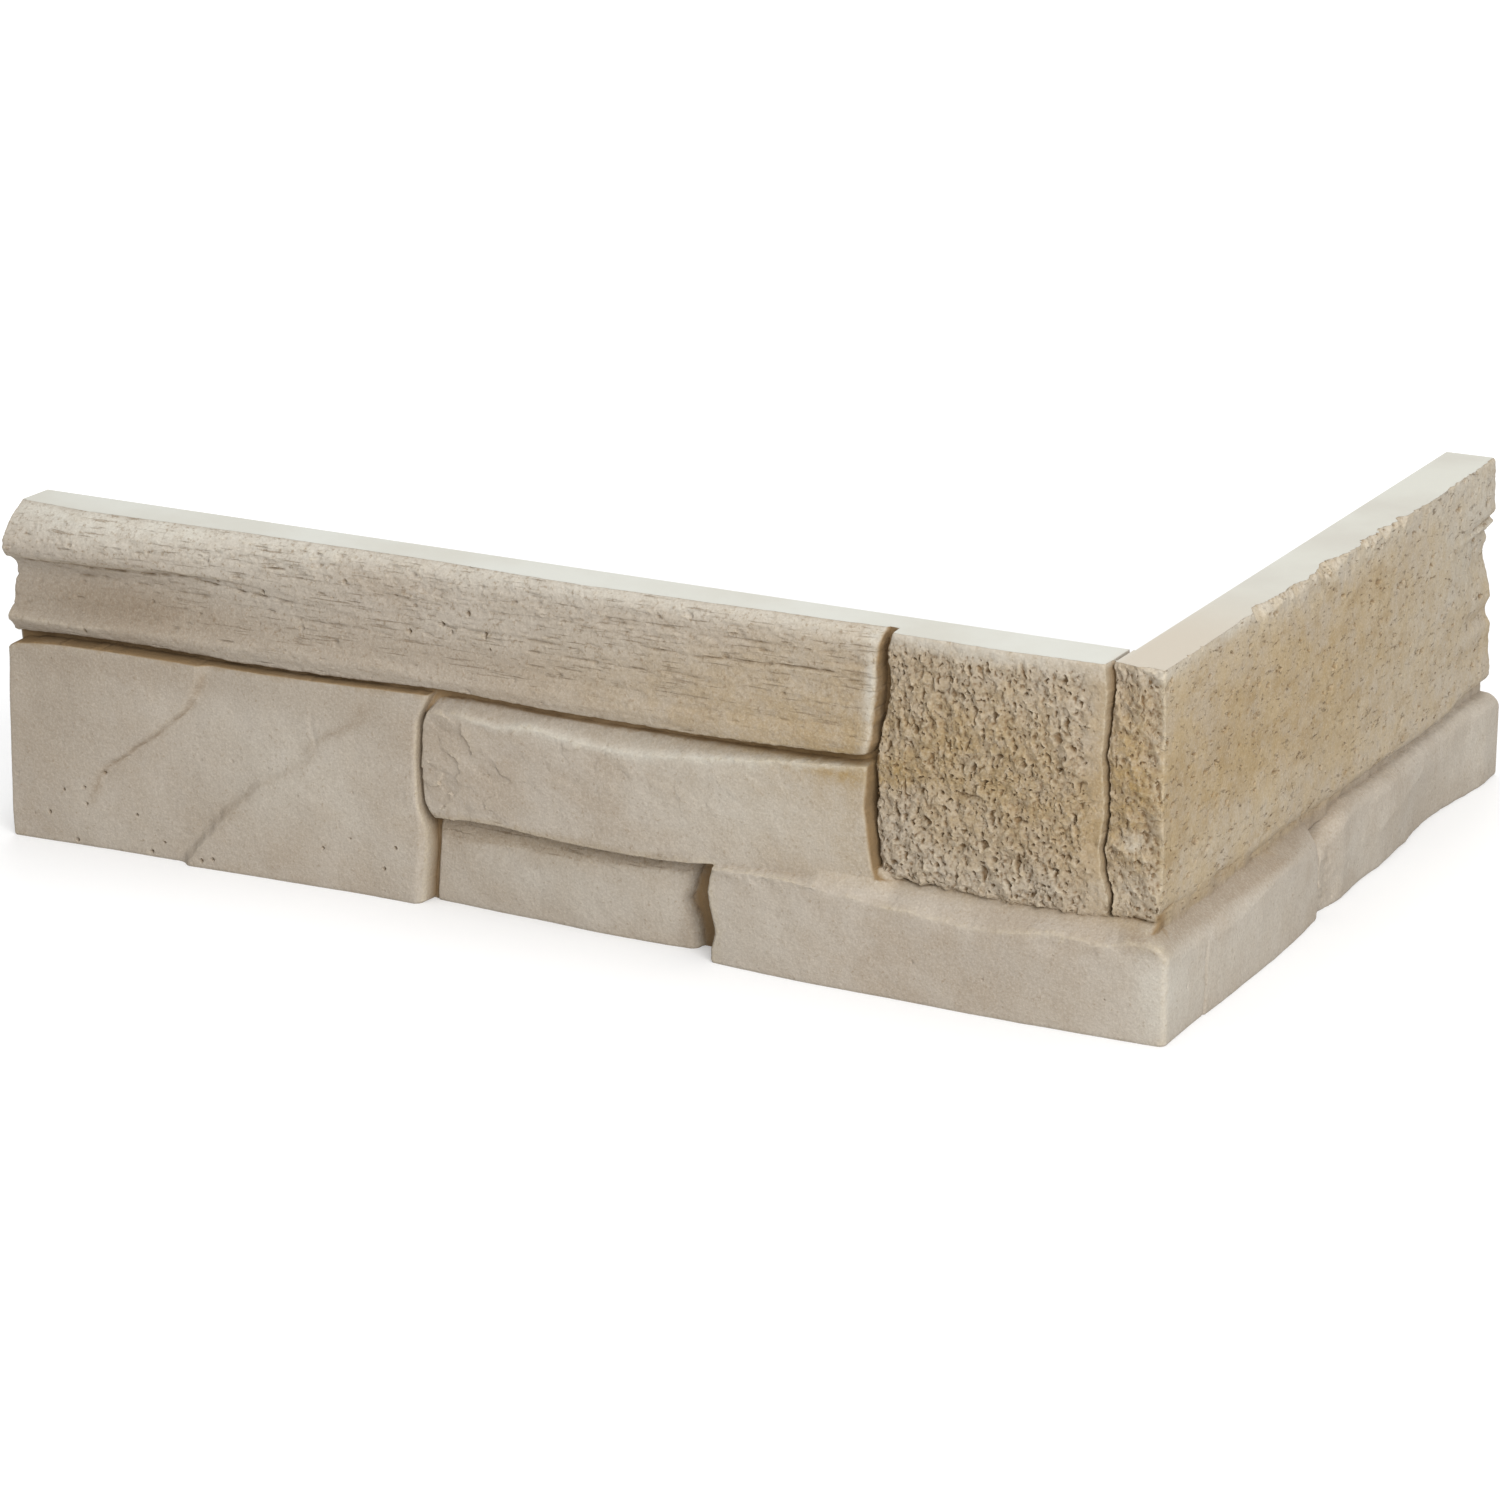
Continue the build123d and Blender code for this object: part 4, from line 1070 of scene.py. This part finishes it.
def stone_material():
    """Beige to grey stone, with the stains, painted shade and highlights, and textures of the masks
    and a plain whiter top.
    """
    shader = Shader("cast_stone")
    place = shader.add("ShaderNodeTexCoord", {}).outputs["Object"]
    along, across, height = shader.add("ShaderNodeSeparateXYZ", {"Vector": place}).outputs
    below = shader.spread(height, (COURSE - 0.03) * MM, (COURSE - 0.1) * MM)
    # Noises, from the broadest to the finest
    blotches = shader.noise(place, 22, 4, 0.55)
    clouds = shader.noise(place, 90, 5, 0.65)
    drifts = shader.noise(place, 120, 6, 0.75, stretch=(0.45, 0.45, 1.0))
    mottle = shader.noise(place, 150, 6, 0.78)
    lumps = shader.noise(place, 320, 4, 0.65)
    marks = shader.noise(place, 540, 4, 0.65, stretch=(1.0, 1.0, 0.65))
    grains = shader.noise(place, 800, 3, 0.65)
    specks = shader.noise(place, 850, 4, 0.75, stretch=(0.32, 0.32, 1.0))
    dashes = shader.noise(place, 1300, 3, 0.65, stretch=(0.06, 0.06, 1.0))
    sand = shader.noise(place, 1500, 2, 0.6)

    def share(name, noise, low, high, weak, strong):
        """A mask that doesn't reach the top face, broken up by a noise."""
        mask = shader.maths("MULTIPLY", shader.attribute(name), below)
        return shader.maths("MULTIPLY", mask, shader.spread(noise, low, high, weak, strong))

    gathered = shader.spread(drifts, 0.42, 0.58, 0.2, 1.0)
    dark_specks = shader.maths("MULTIPLY", share("pocked", specks, 0.56, 0.7, 0.0, 0.85), gathered)
    base = colour(174, 161, 145)
    # Each colour is laid over those before it
    for amount, tint in (
        (shader.spread(blotches, 0.3, 0.7), (183, 173, 159)),
        (shader.spread(clouds, 0.35, 0.65, 0.0, 0.4), (192, 184, 173)),
        # Dark stains and tone, with painted shade under overhangs, in the cove under the top corner
        # stone and beside the veins' steps
        (share("dark", clouds, 0.3, 0.6, 0.65, 0.9), (150, 134, 115)),
        (share("pocked", clouds, 0.65, 0.35, 0.2, 0.8), (194, 175, 142)),
        (share("pocked", drifts, 0.5, 0.64, 0.0, 0.65), (160, 138, 106)),
        (share("ochre", mottle, 0.63, 0.4, 0.6, 1.0), (161, 134, 86)),
        # Pale stains, with a painted highlight along the middle stone's lip
        (share("pale", mottle, 0.35, 0.62, 0.6, 1.0), (204, 200, 189)),
        # Paler raised points: partly pale grains, partly a painted highlight
        (share("pale_tips_and_highlight", grains, 0.4, 0.6, 0.2, 0.5), (202, 190, 166)),
        (share("dips", grains, 0.4, 0.6, 0.6, 0.9), (118, 90, 56)),
        (share("streak", dashes, 0.58, 0.7, 0.0, 0.5), (120, 98, 72)),
        (share("streak", grains, 0.52, 0.68, 0.0, 0.35), (130, 110, 86)),
        (share("crumbs", marks, 0.58, 0.72, 0.0, 0.6), (118, 90, 56)),
        (dark_specks, (112, 86, 56)),
        (shader.spread(grains, 0.55, 0.8, 0.0, 0.5), (134, 114, 88)),
        (shader.spread(sand, 0.35, 0.65, 0.14, 0.0), (132, 114, 90)),
        (shader.spread(sand, 0.45, 0.75, 0.0, 0.2), (206, 196, 178)),
        # Brown dirt in the joints, and painted shade on the step under the long top stone
        (share("hollow", clouds, 0.2, 0.5, 0.75, 0.9), (134, 108, 72)),
    ):
        base = shader.mix(amount, base, colour(*tint))
    # The flat top, whiter along the long leg
    uneven = shader.spread(blotches, 0.35, 0.65)
    white = shader.mix(uneven, colour(199, 197, 187), colour(206, 206, 198))
    tan = shader.mix(uneven, colour(197, 194, 184), colour(205, 204, 194))
    tan = shader.mix(shader.spread(across, 0.01, 0.08), colour(196, 187, 172), tan)
    flat_top = shader.mix(shader.spread(along, -0.004, 0.002), white, tan)
    base = shader.mix(shader.maths("SUBTRACT", 1.0, below), base, flat_top)

    lift = shader.maths("ADD", shader.maths("MULTIPLY", grains, 0.8), lumps)
    for name, noise, low, high, deep in (
        ("crumbs", marks, 0.5, 0.7, 0.8), ("pocked", specks, 0.58, 0.7, 0.7),
        ("streak", dashes, 0.55, 0.72, 0.5),
    ):
        lift = shader.maths("SUBTRACT", lift, share(name, noise, low, high, 0.0, deep))
    lift = shader.maths("MULTIPLY", lift, shader.spread(below, 0.0, 1.0, 0.3, 1.0))
    bump = shader.add("ShaderNodeBump", {"Height": lift, "Strength": 1.0, "Distance": 0.0003})
    shader.give(shader.surface, {
        "Base Color": base, "Roughness": 0.92, "Specular IOR Level": 0.25,
        "Normal": bump.outputs["Normal"],
    })
    return shader.material


relief.data.materials.append(stone_material())
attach(relief, "root")
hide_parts("corner_panel")


# Floor, lights and camera

WHITE = (1, 1, 1, 1)


def floor_material():
    """White floor. The camera sees it lifted to plain white, and only the shadow stays grey."""
    shader = Shader("floor_white")
    seen = shader.add("ShaderNodeLightPath", {}).outputs["Is Camera Ray"]
    place = shader.add("ShaderNodeTexCoord", {}).outputs["Object"]
    distance = shader.add("ShaderNodeVectorMath", {0: place}, operation="LENGTH").outputs["Value"]
    glow = shader.maths("MULTIPLY", seen, shader.spread(distance, 0.3, 1.3, 0.3, 0.9))
    shader.give(shader.surface, {
        "Base Color": (0.68, 0.68, 0.68, 1), "Roughness": 1.0, "Specular IOR Level": 0.0,
        "Emission Color": WHITE, "Emission Strength": glow,
    })
    return shader.material


bpy.ops.mesh.primitive_plane_add(size=16, location=(0, 0, 0))
floor = bpy.context.active_object
floor.name = "floor"
floor.data.materials.append(floor_material())


def soft_light(name, place, aim, size, power):
    """A square light turned to its aim. Lengths are in metres and power is in watts."""
    data = bpy.data.lights.new(name, "AREA")
    data.size = size
    data.energy = power
    light = bpy.data.objects.new(name, data)
    bpy.context.scene.collection.objects.link(light)
    light.location = place
    light.rotation_euler = (Vector(aim) - Vector(place)).to_track_quat("-Z", "Y").to_euler()


soft_light("key_light", (1.1, -1.22, 1.02), (-0.08, 0.05, 0.05), 1.3, 34.5)
soft_light("overhead_light", (-0.1, 0.1, 2.0), (-0.1, 0.05, 0.05), 1.4, 19)
soft_light("back_light", (-0.8, 1.5, 0.8), (-0.08, 0.05, 0.05), 1.3, 10)

world = bpy.data.worlds.new("studio")
bpy.context.scene.world = world
world.use_nodes = True
sky = world.node_tree.nodes["Background"].inputs
sky["Color"].default_value = WHITE
sky["Strength"].default_value = 0.3

# The camera stands where the photograph was taken from, worked out from the panel's own edges
TILT_DOWN, TURN = 18.048, 28.053  # degrees
camera_data = bpy.data.cameras.new("camera")
camera_data.sensor_width = 36.0
camera_data.lens = 110.70
camera = bpy.data.objects.new("camera", camera_data)
camera.location = (0.45251, -1.06269, 0.44761)
camera.rotation_euler = Euler((math.radians(90 - TILT_DOWN), 0, math.radians(TURN)))
bpy.context.scene.collection.objects.link(camera)
bpy.context.scene.camera = camera
bpy.context.scene.view_settings.view_transform = "Standard"
